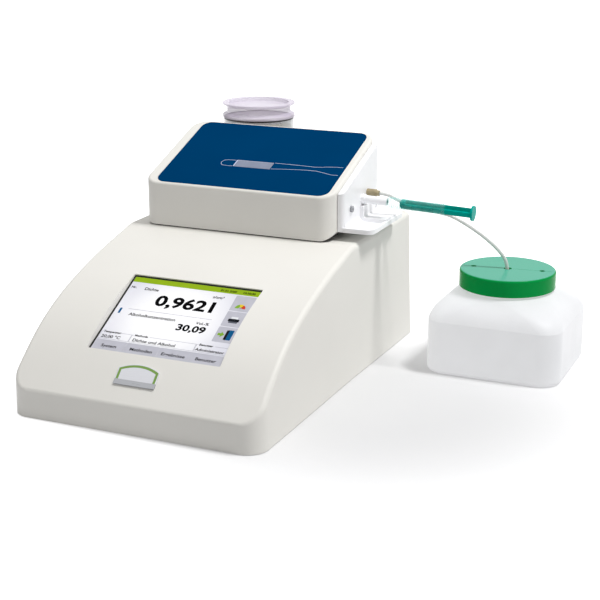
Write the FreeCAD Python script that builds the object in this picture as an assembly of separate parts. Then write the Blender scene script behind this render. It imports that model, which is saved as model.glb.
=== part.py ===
"""Benchtop density meter with a sample syringe, a drying cartridge and a waste bottle.

Millimetres, Z up. X runs to the instrument's right and Y to its back. The pieces are laid out
from the middle of the instrument's front edge on the bench, and place_pieces() then moves the
whole set so that its origin is the middle of the footprint of everything but the waste tube.
"""
import FreeCAD
import Part
import math
import os

V = FreeCAD.Vector
UP = V(0, 0, 1)
RIGHT = V(1, 0, 0)
BACK = V(0, 1, 0)
LEFT = RIGHT * -1
FRONT = BACK * -1
full_turn_deg = 360.0
quarter_turn_deg = 90.0
hexagon_sides = 6

# Cuts run past what they cut by this much
overrun = 5.0
# Gap left between pieces that only lie beside each other
seat_gap = 0.3
# Radial play of a turning or sliding fit
running_fit = 0.06

# Housing: the large shell with the curved front
body_width = 221.6
body_depth = 341.0
body_draft_deg = 1.27
deck_z = 116.0
deck_start_y = 197.0
lip_height = 24.5
slope_start_deg = 44.0
front_corner_r = 17.0
rear_corner_r = 14.0
housing_wall = 3.5
edge_round = 4.0
flare_out = 2.9
flare_start_y = 190.0
flare_draft_deg = 0.6
flare_round = 200.0
skirt_gap = 0.6
# Places on the front curve, as shares of deck_start_y and of the height from lip to deck
slope_shares = [(0.228, 0.427), (0.457, 0.684), (0.635, 0.813), (0.787, 0.903), (0.939, 0.978)]


# Base plate, feet and base screws
base_plate_thick = 2.0
foot_d = 16.0
foot_height = 2.5
foot_inset = 24.0
screw_d = 3.0
screw_head_d = 5.6
screw_head_height = 1.8
screw_length = 8.0
screw_recess_d = 1.6
screw_block = 12.0
screw_block_height = 14.0

# Display in the front curve
screen_width = 115.2
screen_height = 86.4
screen_front_y = 34.4
screen_front_z = 52.6
screen_tilt_deg = 27.55
screen_left_x = -54.0
screen_border = 1.6
screen_front_border = 0.3
opening_corner_r = 1.2
collar_wall = 2.5
collar_height = 12.0
touch_thick = 1.8
touch_margin = 5.0
touch_front_margin = 1.6
touch_rear_margin = 3.0
gasket_thick = 0.4
lcd_thick = 8.0
lcd_margin = 9.0
lcd_front_margin = 3.0
lcd_rear_margin = 4.0
bracket_thick = 1.5
bracket_band = 14.0
ear_width = 10.0
ear_height = 8.0
ear_shares = (0.25, 0.75)

# Blank plate with an arched top on the front curve
plate_width = 36.0
plate_side_height = 14.3
plate_arch_rise = 4.6
plate_thick = 1.0
plate_x = -1.6
plate_front_y = 12.0
plate_front_z = 36.0

# Measuring-cell cover on the deck
cover_left_x = -93.5
cover_right_x = 88.1
cover_front_y = 194.0
cover_depth = 106.0
cover_front_height = 37.8
cover_tilt_deg = 20.3
cover_wall = 3.0
cover_corner_r = 14.0
cover_edge_round = 2.6
cover_rise = 7.0
cover_rise_run = 12.0
seat_flange_thick = 1.0
seat_flange_inset = 1.2
seat_frame_height = 12.0
seat_frame_thick = 3.0

# Dark-blue top panel and its window
panel_left_margin = 11.0
panel_right_margin = 6.4
panel_front_margin = 2.5
panel_length = 106.5
panel_thick = 1.6
panel_corner_r = 9.0
window_length = 35.0
window_width = 10.8
window_from_left = 62.0
window_from_front = 34.4
window_lip = 1.5

# Sample ports and the white port adapter
port_front_y = 250.0
port_front_z = 143.0
port_spacing = 12.8
port_droop_deg = 2.1
port_root_lift = 1.0
adapter_front_y = 206.0
adapter_length = 80.0
adapter_plate_thick = 5.4
adapter_bottom_z = 123.6
adapter_tray_reach = 31.6
adapter_tray_length = 80.0
adapter_tray_thick = 3.8
adapter_floor_thick = 1.6
adapter_lip = 3.0
adapter_edge_round = 4.0
adapter_top_drop = 3.0
adapter_tray_corner_r = 7.0
adapter_hollow_r = 5.5
adapter_pad_inset = 38.0
adapter_pad_thick = 3.5
adapter_pad_length = 30.0
adapter_pad_height = 13.6
adapter_pad_r = 2.0
adapter_screw_inset = 17.0
adapter_screw_height = 17.0
adapter_rear_screw_inset = 7.0
adapter_rear_screw_height = 9.5

# Luer port and the finger-tight nut of the waste line
luer_d = 7.4
luer_length = 23.2
luer_mouth_d = 4.2
luer_flange_d = 9.0
luer_flange_length = 3.0
nut_length = 11.5
nut_d = 6.6
nut_grips = 12
nut_grip_depth = 0.35
nut_collar_d = 5.2
nut_collar_length = 3.0
port_stem_d = 4.0

# Measuring cell inside the cover
cell_block_length = 150.0
cell_block_width = 60.0
cell_front_margin = 24.0
cell_end_wall = 10.0
cell_roof = 5.0
oscillator_d = 3.0
oscillator_bore = 2.2
oscillator_length = 108.0
trough_depth = 5.0
trough_margin = 7.0
clamp_length = 16.0
clamp_margin = 5.0
clamp_place_share = 0.2
piezo_d = 8.0
piezo_thick = 1.5
sensor_d = 3.0
sensor_length = 24.0
sensor_tail = 5.0
peltier_side = 40.0
peltier_thick = 4.0
peltier_spread = 34.0
sink_length = 158.0
sink_width = 68.0
sink_base_thick = 5.0
fin_height = 24.0
fin_thick = 1.6
fin_count = 10
deck_opening_margin = 4.0
insulation_thick = 3.0
insulation_height = 12.0
lamp_board_length = 70.0
lamp_board_width = 8.0
lamp_board_thick = 1.6
lamp_size = 3.0
lamp_height = 1.4
lamp_count = 5

# Fan behind the vent in the rear panel
fan_side = 40.0
fan_depth = 10.0
fan_bore_d = 37.0
fan_hub_d = 17.0
fan_shaft_d = 3.0
fan_blades = 7
fan_blade_thick = 1.2
fan_blade_pitch_deg = 35.0
fan_tip_gap = 0.6
fan_floor = 2.0
fan_arms = 3
fan_arm_width = 3.0
fan_x = 71.0
fan_z = 70.0
vent_slot_width = 3.0
vent_slot_height = 30.0
vent_slots = 6
vent_slot_pitch = 5.6

# Rear panel with the electrical connections
rear_panel_width = 122.0
rear_panel_height = 82.0
rear_panel_thick = 1.5
rear_panel_x = 36.0
rear_panel_z = 58.0
rear_frame_width = 5.0
inlet_x = 2.0
inlet_z = 58.0
inlet_width = 28.0
inlet_height = 62.0
inlet_depth = 30.0
inlet_flange = 3.0
inlet_flange_thick = 2.2
inlet_well_width = 24.0
inlet_well_height = 16.5
inlet_well_depth = 16.0
inlet_well_drop = 17.0
inlet_pin_length = 13.0
inlet_pin_width = 4.0
inlet_pin_thick = 2.0
inlet_pin_pitch = 7.0
fuse_width = 22.0
fuse_height = 9.0
fuse_depth = 18.0
fuse_lip = 1.2
fuse_lift = 1.0
rocker_width = 13.0
rocker_height = 19.0
rocker_depth = 6.0
rocker_dish = 1.6
rocker_stand = 3.4
rocker_tilt_deg = 9.0
rocker_pin_d = 3.0
rocker_pin_length = 1.6
rocker_lift = 19.5
rocker_clearance = 0.8
port_body_depth = 14.0
port_rim = 1.2
port_wall = 0.9
usb_width = 13.2
usb_height = 15.6
usb_slot_height = 5.2
usb_tongue_thick = 1.8
network_width = 16.0
network_height = 13.4
network_opening_width = 11.8
network_latch_width = 4.0
network_latch_height = 2.0
network_contacts = 8
serial_width = 30.8
serial_height = 12.5
serial_shell_width = 17.0
serial_shell_height = 8.4
serial_shell_reach = 5.6
serial_shell_corner_r = 2.0
serial_shell_slant = 1.2
serial_rows = (5, 4)
serial_pin_pitch = 2.76
serial_pin_d = 1.0
hex_post_d = 4.6
post_spread_share = 0.25
connector_x = 35.2
connector_low_z = 34.0
connector_pitch = 25.0

# Electronics on the base plate
board_length = 150.0
board_width = 100.0
board_thick = 1.6
board_rear_y = 228.0
board_left_x = -88.0
standoff_d = 6.0
standoff_height = 8.0
standoff_inset = 6.0
chip_side = 18.0
chip_height = 2.4
chip_spread_share = 0.25
socket_height = 9.0
socket_depth = 6.0
capacitor_count = 5
capacitor_d = 8.0
capacitor_height = 12.0
supply_length = 78.0
supply_depth = 60.0
supply_height = 30.0
supply_left_x = 22.0
supply_front_y = 240.0

# Air pump for drying the cell, with its hoses
pump_length = 58.0
pump_width = 34.0
pump_height = 30.0
pump_head_height = 9.0
pump_left_x = -92.0
pump_front_y = 234.0
port_inset = 17.0
port_drop = 5.5
pump_round = 2.0
mount_d = 9.0
mount_height = 6.0
hose_d = 6.0
hose_bore = 3.0
nipple_d = 5.0
nipple_bore = 2.4
nipple_length = 11.0
nipple_collar_thick = 1.5
nipple_collar_reach = 1.0
nipple_outer_collar = 1.5
outlet_x = -44.0
outlet_z = 24.0
intake_z = 46.0
hose_lead = 14.0

# Flat cable between display and main board
ribbon_width = 30.0
ribbon_thick = 1.0
ribbon_start_share = 0.68
ribbon_bend_share = 0.42

# Drying cartridge on the rear wall
cartridge_d = 69.0
cartridge_x = -67.0
cartridge_floor_z = 40.0
cartridge_length = 145.0
cartridge_wall = 2.0
cartridge_gap = 1.2
filling_gap = 0.4
filling_headroom = 4.0
seal_thick = 1.6
cap_d = 71.0
cap_height = 14.0
cap_waist_d = 62.5
cap_flange_height = 2.6
cap_rim_height = 1.4
cap_wall = 1.6
cap_floor_height = 10.5
cap_plug_depth = 4.0
holder_wall = 2.5
holder_cup_height = 26.0
holder_ring_z = 100.0
holder_ring_height = 12.0
holder_plate_width = 52.0
holder_plate_thick = 3.0
holder_mouth = 52.0
holder_screw_spread = 18.0
holder_screw_z = 80.0

# Two-part syringe in the front port
syringe_nozzle_d = 4.0
syringe_nozzle_length = 9.0
syringe_bore = 1.6
syringe_gap = 1.6
barrel_length = 51.0
barrel_d = 10.0
barrel_bore = 8.6
barrel_end_wall = 1.2
barrel_flange_d = 12.8
barrel_flange_thick = 1.5
plunger_front_gap = 9.2
plunger_length = 66.0
plunger_head_length = 4.0
plunger_rib = 1.6
plunger_tip = 1.5
plunger_rib_d = 8.2
plunger_disc_d = 13.0
plunger_disc_thick = 1.8

# Waste bottle and its screw lid
bottle_x = 216.0
bottle_y = 288.0
bottle_width = 118.2
bottle_length = 112.0
bottle_body_right = 2.1
bottle_body_front = 3.0
bottle_corner_r = 18.0
bottle_wall = 1.6
bottle_foot_round = 4.0
bottle_shoulder_z = 47.0
bottle_neck_z = 68.7
bottle_neck_d = 78.8
neck_bead = 0.5
# Stations up the shoulder: share of its height, share of the way from oblong to round
shoulder_shares = [(0.0, 0.0), (0.3, 0.14), (0.65, 0.5), (1.0, 1.0)]
lid_d = 84.0
lid_height = 14.8
lid_top_z = 85.0
lid_wall = 2.0
lid_edge_round = 2.0
lid_hole_d = 7.0
lid_vent_d = 4.8
lid_vent_spread = 30.0
lid_vent_turn_deg = 7.0
liner_thick = 1.2
liner_rim_gap = 0.5

# Waste tube: its size and the points of its route, from the nut to the lid
tube_d = 3.2
tube_bore = 1.6
tube_points = [
    (105.3, 262.0, 147.4),
    (118.0, 263.0, 147.0),
    (133.0, 266.5, 142.5),
    (149.0, 271.0, 134.5),
    (166.0, 275.5, 128.5),
    (184.0, 280.0, 120.5),
    (199.0, 283.8, 109.5),
    (210.3, 286.7, 98.5),
    (216.0, 288.0, 88.0),
    (216.0, 288.0, 76.0),
]
run_share = 0.45


def box(x, y, z, dx, dy, dz):
    """Box from its lowest corner and its sides."""
    return Part.makeBox(dx, dy, dz, V(x, y, z))


def upright_box(centre_x, centre_y, z, dx, dy, dz):
    """Box from the middle of its bottom face and its sides."""
    return box(centre_x - dx / 2, centre_y - dy / 2, z, dx, dy, dz)


def rod(diameter, length, base, axis=UP):
    """Round bar from the middle of its base."""
    return Part.makeCylinder(diameter / 2, length, base, axis)


def pipe(outer, inner, length, base, axis=UP):
    """Round tube from the middle of its base."""
    hole_base = base - axis * overrun
    return rod(outer, length, base, axis).cut(rod(inner, length + 2 * overrun, hole_base, axis))


def joined(shapes):
    """One shape from several that touch."""
    whole = shapes[0]
    for shape in shapes[1:]:
        whole = whole.fuse(shape)
    return whole.removeSplitter()


def grouped(shapes):
    """Separate solids kept together in one node."""
    return Part.makeCompound(shapes)


def set_along(shape, base, axis):
    """Shape made standing at the origin, laid along axis from base."""
    placed = shape.copy()
    placed.Placement = FreeCAD.Placement(base, FreeCAD.Rotation(UP, axis)).multiply(placed.Placement)
    return placed


def route(points):
    """Wire of straight runs through the points, with a tangent arc at every turn."""
    edges = []
    start = points[0]
    for before, corner, after in zip(points, points[1:], points[2:]):
        back = before - corner
        ahead = after - corner
        reach = run_share * min(back.Length, ahead.Length)
        half_turn = (math.pi - back.getAngle(ahead)) / 2
        radius = reach / math.tan(half_turn)
        back.normalize()
        ahead.normalize()
        entry = corner + back * reach
        leave = corner + ahead * reach
        inward = (back + ahead).normalize()
        middle = corner + inward * (radius / math.cos(half_turn) - radius)
        edges.append(Part.LineSegment(start, entry).toShape())
        edges.append(Part.Arc(entry, middle, leave).toShape())
        start = leave
    edges.append(Part.LineSegment(start, points[-1]).toShape())
    return Part.Wire(edges)


def swept_tube(wire, start, direction, outer, bore):
    """Round tube along a wire that leaves start in this direction."""
    sweeps = []
    for diameter in (outer, bore):
        ring = Part.Wire([Part.Circle(start, direction, diameter / 2).toShape()])
        sweeps.append(wire.makePipeShell([ring], True, False))
    return sweeps[0].cut(sweeps[1])


def tilted(shape, angle_deg, origin):
    """Shape made on the level, turned about X and set down at origin."""
    turned = shape.copy()
    turned.rotate(V(0, 0, 0), RIGHT, angle_deg)
    turned.translate(origin)
    return turned


def rounded_outline(corners, rounds, z=0.0):
    """Closed level wire through the corners, each rounded with its own radius."""
    lines = []
    arcs = []
    count = len(corners)
    for index, radius in enumerate(rounds):
        corner = V(corners[index][0], corners[index][1], z)
        before = V(corners[index - 1][0], corners[index - 1][1], z)
        after = V(corners[(index + 1) % count][0], corners[(index + 1) % count][1], z)
        to_before = (before - corner).normalize()
        to_after = (after - corner).normalize()
        half_angle = to_before.getAngle(to_after) / 2
        reach = radius / math.tan(half_angle)
        inward = (to_before + to_after).normalize()
        middle = corner + inward * (radius / math.sin(half_angle) - radius)
        arcs.append((corner + to_before * reach, middle, corner + to_after * reach))
    for index in range(count):
        next_start = arcs[(index + 1) % count][0]
        lines.append(Part.Arc(*arcs[index]).toShape())
        lines.append(Part.LineSegment(arcs[index][2], next_start).toShape())
    return Part.Wire(lines)


def rectangle_outline(centre_x, centre_y, dx, dy, radius, z=0.0):
    """Closed level wire of a rectangle, its corners round unless the radius is zero."""
    left = centre_x - dx / 2
    right = centre_x + dx / 2
    front = centre_y - dy / 2
    rear = centre_y + dy / 2
    corners = [(left, front), (right, front), (right, rear), (left, rear)]
    if not radius:
        return Part.makePolygon([V(x, y, z) for x, y in corners + corners[:1]])
    return rounded_outline(corners, [radius] * len(corners), z)


def straight_edges(points):
    """Straight edges from each point to the next."""
    return [Part.LineSegment(a, b).toShape() for a, b in zip(points, points[1:])]


def slab(outline, height):
    """Plate of this height standing on a level outline."""
    return Part.Face(outline).extrude(UP * height)


def side_prism(points, x, length):
    """Prism along X over a polygon of (y, z) points."""
    loop = [V(x, y, z) for y, z in points]
    loop.append(loop[0])
    return Part.Face(Part.makePolygon(loop)).extrude(RIGHT * length)


def turned_profile(points, base, axis=UP):
    """Round solid turned about its axis over a polygon of (radius, height) points."""
    loop = [V(radius, 0, height) for radius, height in points]
    loop.append(loop[0])
    solid = Part.Face(Part.makePolygon(loop)).revolve(V(0, 0, 0), UP, full_turn_deg)
    solid.Placement = FreeCAD.Placement(base, FreeCAD.Rotation(UP, axis))
    return solid


def plan_outline(z, inset):
    """Footprint of the housing at height z, drawn in by inset."""
    half = body_width / 2 - z * math.tan(math.radians(body_draft_deg)) - inset
    flared = half + flare_out - z * math.tan(math.radians(flare_draft_deg))
    rear = body_depth - inset
    right_side = [(half, inset), (half, flare_start_y), (flared, rear)]
    rounds = [front_corner_r - inset, flare_round, rear_corner_r - inset]
    left_side = [(-x, y) for x, y in reversed(right_side)]
    return rounded_outline(right_side + left_side, rounds + rounds[::-1], z)


def front_curve(inset):
    """Curve of the housing's section from the lip to the deck, drawn in by inset."""
    angle = math.radians(slope_start_deg)
    start_direction = V(0, math.cos(angle), math.sin(angle))
    rise = deck_z - lip_height
    points = [V(0, 0, lip_height)]
    points += [V(0, along * deck_start_y, lip_height + up * rise) for along, up in slope_shares]
    points.append(V(0, deck_start_y, deck_z))
    curve = Part.BSplineCurve()
    curve.interpolate(Points=points, InitialTangent=start_direction, FinalTangent=BACK)
    drawn_in = []
    for point in points:
        direction = curve.tangent(curve.parameter(point))[0]
        drawn_in.append(point + V(0, direction.z, -direction.y) * inset)
    lip_drop = math.cos(angle) - (1 - math.sin(angle)) * math.tan(angle)
    drawn_in[0] = V(0, inset, lip_height - inset * lip_drop)
    inner = Part.BSplineCurve()
    inner.interpolate(Points=drawn_in, InitialTangent=start_direction, FinalTangent=BACK)
    return inner


def half_width(z):
    """Half of the housing's width at height z, ahead of the flare."""
    return body_width / 2 - z * math.tan(math.radians(body_draft_deg))


def body_solid(inset, low):
    """The housing's full form from height low upwards, drawn in by inset."""
    foot = plan_outline(low, inset)
    head = plan_outline(deck_z + overrun, inset)
    shaft = Part.makeLoft([foot, head], True, True)
    curve = front_curve(inset)
    rear = body_depth - inset
    path = [curve.EndPoint, V(0, rear, deck_z - inset), V(0, rear, low), V(0, inset, low), curve.StartPoint]
    edges = [curve.toShape()]
    edges += [Part.LineSegment(a, b).toShape() for a, b in zip(path, path[1:])]
    face = Part.Face(Part.Wire(edges))
    face.translate(RIGHT * -body_width)
    return shaft.common(face.extrude(RIGHT * 2 * body_width))


def top_edges(solid):
    """Edges where the housing's front curve and deck meet its lip, sides and back."""
    found = []
    for edge in solid.Edges:
        above_floor = edge.BoundBox.ZMin > lip_height - edge_round
        seam = abs(edge.CenterOfMass.y - deck_start_y) < edge_round
        if above_floor and not seam:
            found.append(edge)
    return found


def on_screen(shape):
    """Shape made flat with the picture's front left corner at the origin, set in the front curve."""
    return tilted(shape, screen_tilt_deg, V(screen_left_x, screen_front_y, screen_front_z))


def screen_slab(side, front, rear, low, high, radius=0.0):
    """Plate round the picture area with these margins, from low to high over its plane."""
    dx = screen_width + 2 * side
    dy = screen_height + front + rear
    outline = rectangle_outline(screen_width / 2, (screen_height + rear - front) / 2, dx, dy, radius, low)
    return slab(outline, high - low)


def screen_opening():
    """Air of the display's opening through the housing, in the picture's own frame."""
    border = screen_border
    high = collar_height + overrun
    return screen_slab(border, screen_front_border, border, -overrun, high, opening_corner_r)


def lcd_low():
    """Height of the display module's back in the picture's frame."""
    return -touch_thick - lcd_thick


def display_ears():
    """Places of the display's screws in the picture's frame."""
    reach = lcd_margin + ear_width / 2
    rows = [screen_height * share for share in ear_shares]
    return [V(x, y, 0) for x in (-reach, screen_width + reach) for y in rows]


def rear_slab(x, z, dx, dz, start_y, length):
    """Plate standing parallel to the back wall, from start_y backwards."""
    return box(x - dx / 2, start_y, z - dz / 2, dx, length, dz)


def rear_opening():
    """Air of the opening in the housing's back wall behind the rear panel."""
    dx = rear_panel_width - 2 * rear_frame_width
    dz = rear_panel_height - 2 * rear_frame_width
    start = body_depth - housing_wall - overrun
    return rear_slab(rear_panel_x, rear_panel_z, dx, dz, start, housing_wall + 2 * overrun)


def rear_screw_places():
    """Places of the rear panel's screws on its outer face."""
    reach_x = (rear_panel_width - rear_frame_width) / 2
    reach_z = (rear_panel_height - rear_frame_width) / 2
    middle = V(rear_panel_x, body_depth + rear_panel_thick, rear_panel_z)
    return [middle + V(x, 0, z) for x in (-reach_x, reach_x) for z in (-reach_z, reach_z)]


def sink_centre_y():
    """Middle of the measuring cell from front to back."""
    return port_front_y - cell_front_margin + cell_block_width / 2


def deck_opening():
    """Air of the opening in the deck that the heat sink's fins hang through."""
    dx = sink_length - 2 * deck_opening_margin
    dy = sink_width - 2 * deck_opening_margin
    low = deck_z - housing_wall - overrun
    return upright_box(cover_centre_x(), sink_centre_y(), low, dx, dy, housing_wall + 2 * overrun)


def base_screw_places():
    """Middles of the four screws through the base plate."""
    reach_x = half_width(0) - housing_wall - screw_block / 2 - seat_gap
    front = front_corner_r + screw_block / 2
    rear = body_depth - rear_corner_r - screw_block / 2
    return [V(x, y, foot_height) for x in (-reach_x, reach_x) for y in (front, rear)]


def screw(length, base, axis=UP):
    """Socket-head screw whose head's underside is at base, with its shank along axis."""
    shank = rod(screw_d, length, base, axis)
    head = rod(screw_head_d, screw_head_height, base - axis * screw_head_height, axis)
    socket_base = base - axis * (screw_head_height + screw_recess_d / 2)
    socket = rod(screw_recess_d, screw_head_height, socket_base, axis)
    return shank.fuse(head).removeSplitter().cut(socket)


def screw_hole(length, base, axis=UP):
    """Air for a screw's shank, from a little before base."""
    return rod(screw_d + 2 * seat_gap, length + seat_gap + overrun, base - axis * overrun, axis)


def screw_blocks(outer):
    """Blocks for the base screws, each tied to the side wall, inside the outer form."""
    blocks = []
    low = base_top_z()
    for place in base_screw_places():
        side = 1 if place.x > 0 else -1
        block = upright_box(place.x, place.y, low, screw_block, screw_block, screw_block_height)
        web_x = place.x + side * screw_block
        web = upright_box(web_x, place.y, low, 2 * screw_block, screw_block / 2, screw_block_height)
        blocks.append(block.fuse(web).common(outer))
    return blocks


def display_mounts(outer):
    """Collar round the display's opening and bosses for its bracket, inside the outer form."""
    side = screen_border + collar_wall
    collar = screen_slab(side, 0, side, gasket_thick, collar_height, collar_wall)
    bosses = []
    boss_height = collar_height - lcd_low()
    for place in display_ears():
        bosses.append(upright_box(place.x, place.y, lcd_low(), ear_width, ear_height, boss_height))
    return [on_screen(shape).common(outer) for shape in [collar] + bosses]


def make_housing():
    """Shell with the curved front, its display collar, openings and screw blocks."""
    outer = body_solid(0, skirt_gap)
    outer = outer.makeFillet(edge_round, top_edges(outer))
    hollow = body_solid(housing_wall, skirt_gap - overrun)
    shell = joined([outer.cut(hollow)] + screw_blocks(outer) + display_mounts(outer))
    side = lcd_margin + seat_gap
    front = lcd_front_margin + seat_gap
    rear = lcd_rear_margin + seat_gap
    pocket = screen_slab(side, front, rear, lcd_low() - overrun, gasket_thick)
    cuts = [on_screen(pocket), on_screen(screen_opening()), rear_opening(), deck_opening()]
    cuts += [screw_hole(screw_length, place) for place in base_screw_places()]
    cuts += [screw_hole(screw_length, place, FRONT) for place in rear_screw_places() + holder_screw_places()]
    cuts += [nipple_hole(place) for place in wall_nipple_places()]
    low = lcd_low() - bracket_thick
    cuts += [on_screen(screw_hole(screw_length, place + UP * low)) for place in display_ears()]
    for cut in cuts:
        shell = shell.cut(cut)
    return shell.removeSplitter()


def make_base_plate():
    """Flat plate that closes the housing from below."""
    plate = slab(plan_outline(foot_height, housing_wall + seat_gap), base_plate_thick)
    for place in base_screw_places():
        plate = plate.cut(screw_hole(screw_length, place))
    return plate


def make_feet():
    """Four round feet under the base plate."""
    reach = body_width / 2 - foot_inset
    places = [(x, y) for x in (-reach, reach) for y in (foot_inset, body_depth - foot_inset)]
    return grouped([rod(foot_d, foot_height, V(x, y, 0)) for x, y in places])


def make_rear_panel():
    """Outside plate on the back wall with holes for its connectors and the fan's vent."""
    low_x = rear_panel_x - rear_panel_width / 2
    low_z = rear_panel_z - rear_panel_height / 2
    panel = box(low_x, body_depth, low_z, rear_panel_width, rear_panel_thick, rear_panel_height)
    through = rear_panel_thick + 2 * overrun
    start = body_depth - overrun
    holes = [(inlet_x, inlet_z, inlet_width, inlet_height)]
    holes.append((connector_x, usb_z(), usb_width, usb_height))
    holes.append((connector_x, network_z(), network_width, network_height))
    holes.append((connector_x, serial_z(), serial_shell_width, serial_shell_height))
    for x, z, dx, dz in holes:
        wide = dx + 2 * seat_gap
        tall = dz + 2 * seat_gap
        panel = panel.cut(box(x - wide / 2, start, z - tall / 2, wide, through, tall))
    for index in range(vent_slots):
        x = fan_x + (index - (vent_slots - 1) / 2) * vent_slot_pitch
        panel = panel.cut(rear_slab(x, fan_z, vent_slot_width, vent_slot_height, start, through))
    for place in rear_screw_places():
        panel = panel.cut(screw_hole(screw_length, place, FRONT))
    return panel


def make_touch_panel():
    """Clear pane over the display."""
    return on_screen(screen_slab(touch_margin, touch_front_margin, touch_rear_margin, -touch_thick, 0))


def make_display_gasket():
    """Thin frame between the clear pane and the collar above it."""
    frame = screen_slab(touch_margin, touch_front_margin, touch_rear_margin, 0, gasket_thick)
    border = screen_border
    opening = screen_slab(border, screen_front_border, border, -overrun, overrun, opening_corner_r)
    return on_screen(frame.cut(opening))


def make_lcd_module():
    """Display module behind the clear pane, with the cable's socket on its back."""
    return on_screen(screen_slab(lcd_margin, lcd_front_margin, lcd_rear_margin, lcd_low(), -touch_thick))


def make_display_bracket():
    """Open frame that holds the display module up, with four screwed ears."""
    low = lcd_low() - bracket_thick
    frame = screen_slab(lcd_margin, lcd_front_margin, lcd_rear_margin, low, lcd_low())
    opening = screen_slab(
        lcd_margin - bracket_band, lcd_front_margin - bracket_band, lcd_rear_margin - bracket_band,
        low - overrun, overrun)
    ears = []
    for place in display_ears():
        ears.append(upright_box(place.x, place.y, low, ear_width + 2 * seat_gap, ear_height, bracket_thick))
    bracket = joined([frame.cut(opening)] + ears)
    for place in display_ears():
        bracket = bracket.cut(screw_hole(screw_length, place + UP * low))
    return on_screen(bracket)


def make_display_screws():
    """Four screws through the bracket's ears."""
    low = lcd_low() - bracket_thick
    return grouped([on_screen(screw(screw_length, place + UP * low)) for place in display_ears()])


def make_name_plate():
    """Blank plate with an arched top, lying on the front curve."""
    half = plate_width / 2
    side_top = V(half, plate_side_height, -overrun)
    far_top = V(-half, plate_side_height, -overrun)
    crown = V(0, plate_side_height + plate_arch_rise, -overrun)
    foot_right = V(half, 0, -overrun)
    foot_left = V(-half, 0, -overrun)
    edges = [Part.LineSegment(foot_left, foot_right).toShape()]
    edges.append(Part.LineSegment(foot_right, side_top).toShape())
    edges.append(Part.Arc(side_top, crown, far_top).toShape())
    edges.append(Part.LineSegment(far_top, foot_left).toShape())
    prism = Part.Face(Part.Wire(edges)).extrude(UP * 2 * overrun)
    prism = tilted(prism, slope_start_deg, V(plate_x, plate_front_y, plate_front_z))
    outer = body_solid(-seat_gap - plate_thick, foot_height)
    return prism.common(outer.cut(body_solid(-seat_gap, foot_height)))


def cover_floor_z():
    """Height of the cover's lower edge."""
    return deck_z + seat_flange_thick


def cover_centre_x():
    """Middle of the cover from left to right."""
    return (cover_left_x + cover_right_x) / 2


def on_cover(shape):
    """Shape made flat, set on the plane of the cover's top from the middle of its front edge."""
    return tilted(shape, cover_tilt_deg, V(0, cover_front_y, cover_floor_z() + cover_front_height))


def under_cover_top(solid, drop):
    """The part of a solid that lies below the cover's top plane lowered by drop."""
    reach = body_width + body_depth
    above = on_cover(box(-reach / 2, -reach / 2, -drop, reach, reach, reach))
    return solid.cut(above)


def cover_footprint(inset, z):
    """Outline of the cover at height z, drawn in by inset."""
    width = cover_right_x - cover_left_x - 2 * inset
    depth = cover_depth - 2 * inset
    centre_y = cover_front_y + cover_depth / 2
    return rectangle_outline(cover_centre_x(), centre_y, width, depth, cover_corner_r - inset, z)


def cover_block(inset):
    """The cover's full form, drawn in by inset."""
    return under_cover_top(slab(cover_footprint(inset, cover_floor_z()), body_depth), inset)


def panel_flat(margin, low, high):
    """The top panel as a flat plate from low to high, grown by margin."""
    dx = cover_right_x - panel_right_margin - cover_left_x - panel_left_margin
    centre_x = cover_left_x + panel_left_margin + dx / 2
    centre_y = panel_front_margin + panel_length / 2
    dy = panel_length + 2 * margin
    outline = rectangle_outline(centre_x, centre_y, dx + 2 * margin, dy, panel_corner_r + margin, low)
    return slab(outline, high - low)


def window_flat(margin, low, high):
    """The window as a flat plate from low to high, grown by margin."""
    x = cover_left_x + panel_left_margin + window_from_left - margin
    y = panel_front_margin + window_from_front - margin
    return box(x, y, low, window_length + 2 * margin, window_width + 2 * margin, high - low)


def port_places():
    """Middles of the sample port and the waste port on the cover's right side."""
    angle = math.radians(cover_tilt_deg)
    step = V(0, math.cos(angle), math.sin(angle)) * port_spacing
    front = V(cover_right_x, port_front_y, port_front_z)
    return [front, front + step]


def adapter_face_x():
    """Outer face of the port adapter's plate."""
    return cover_right_x + seat_gap + adapter_plate_thick


def adapter_screw_places():
    """Places of the adapter's screws on its outer face."""
    front_y = adapter_front_y + adapter_screw_inset
    rear_y = adapter_front_y + adapter_length - adapter_rear_screw_inset
    front = V(adapter_face_x(), front_y, adapter_bottom_z + adapter_screw_height)
    return [front, V(adapter_face_x(), rear_y, adapter_bottom_z + adapter_rear_screw_height)]


def make_cell_cover():
    """White hood over the measuring cell, with a tilted top and seats for its panel and window."""
    outer = cover_block(0)
    upper = [edge for edge in outer.Edges if edge.BoundBox.ZMin > cover_floor_z() + edge_round]
    cover = outer.makeFillet(cover_edge_round, upper).cut(cover_block(cover_wall))
    cover = cover.cut(on_cover(panel_flat(seat_gap, -panel_thick, overrun)))
    cover = cover.cut(on_cover(window_flat(-window_lip, -cover_wall - overrun, overrun)))
    edge = rising_edge(0, cover_front_y - overrun)
    corners = [edge.EndPoint, edge.EndPoint + RIGHT * overrun]
    corners.append(corners[1] - UP * (cover_rise + overrun))
    corners += [edge.StartPoint - UP * overrun, edge.StartPoint]
    outline = Part.Wire([edge.toShape()] + straight_edges(corners))
    cover = cover.cut(Part.Face(outline).extrude(BACK * (cover_depth + 2 * overrun)))
    for place in port_places():
        start = place - RIGHT * (cover_wall + overrun)
        cover = cover.cut(rod(port_stem_d + 2 * seat_gap, cover_wall + 2 * overrun, start, RIGHT))
    for place in adapter_screw_places():
        cover = cover.cut(screw_hole(screw_length, place, LEFT))
    return cover


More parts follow.
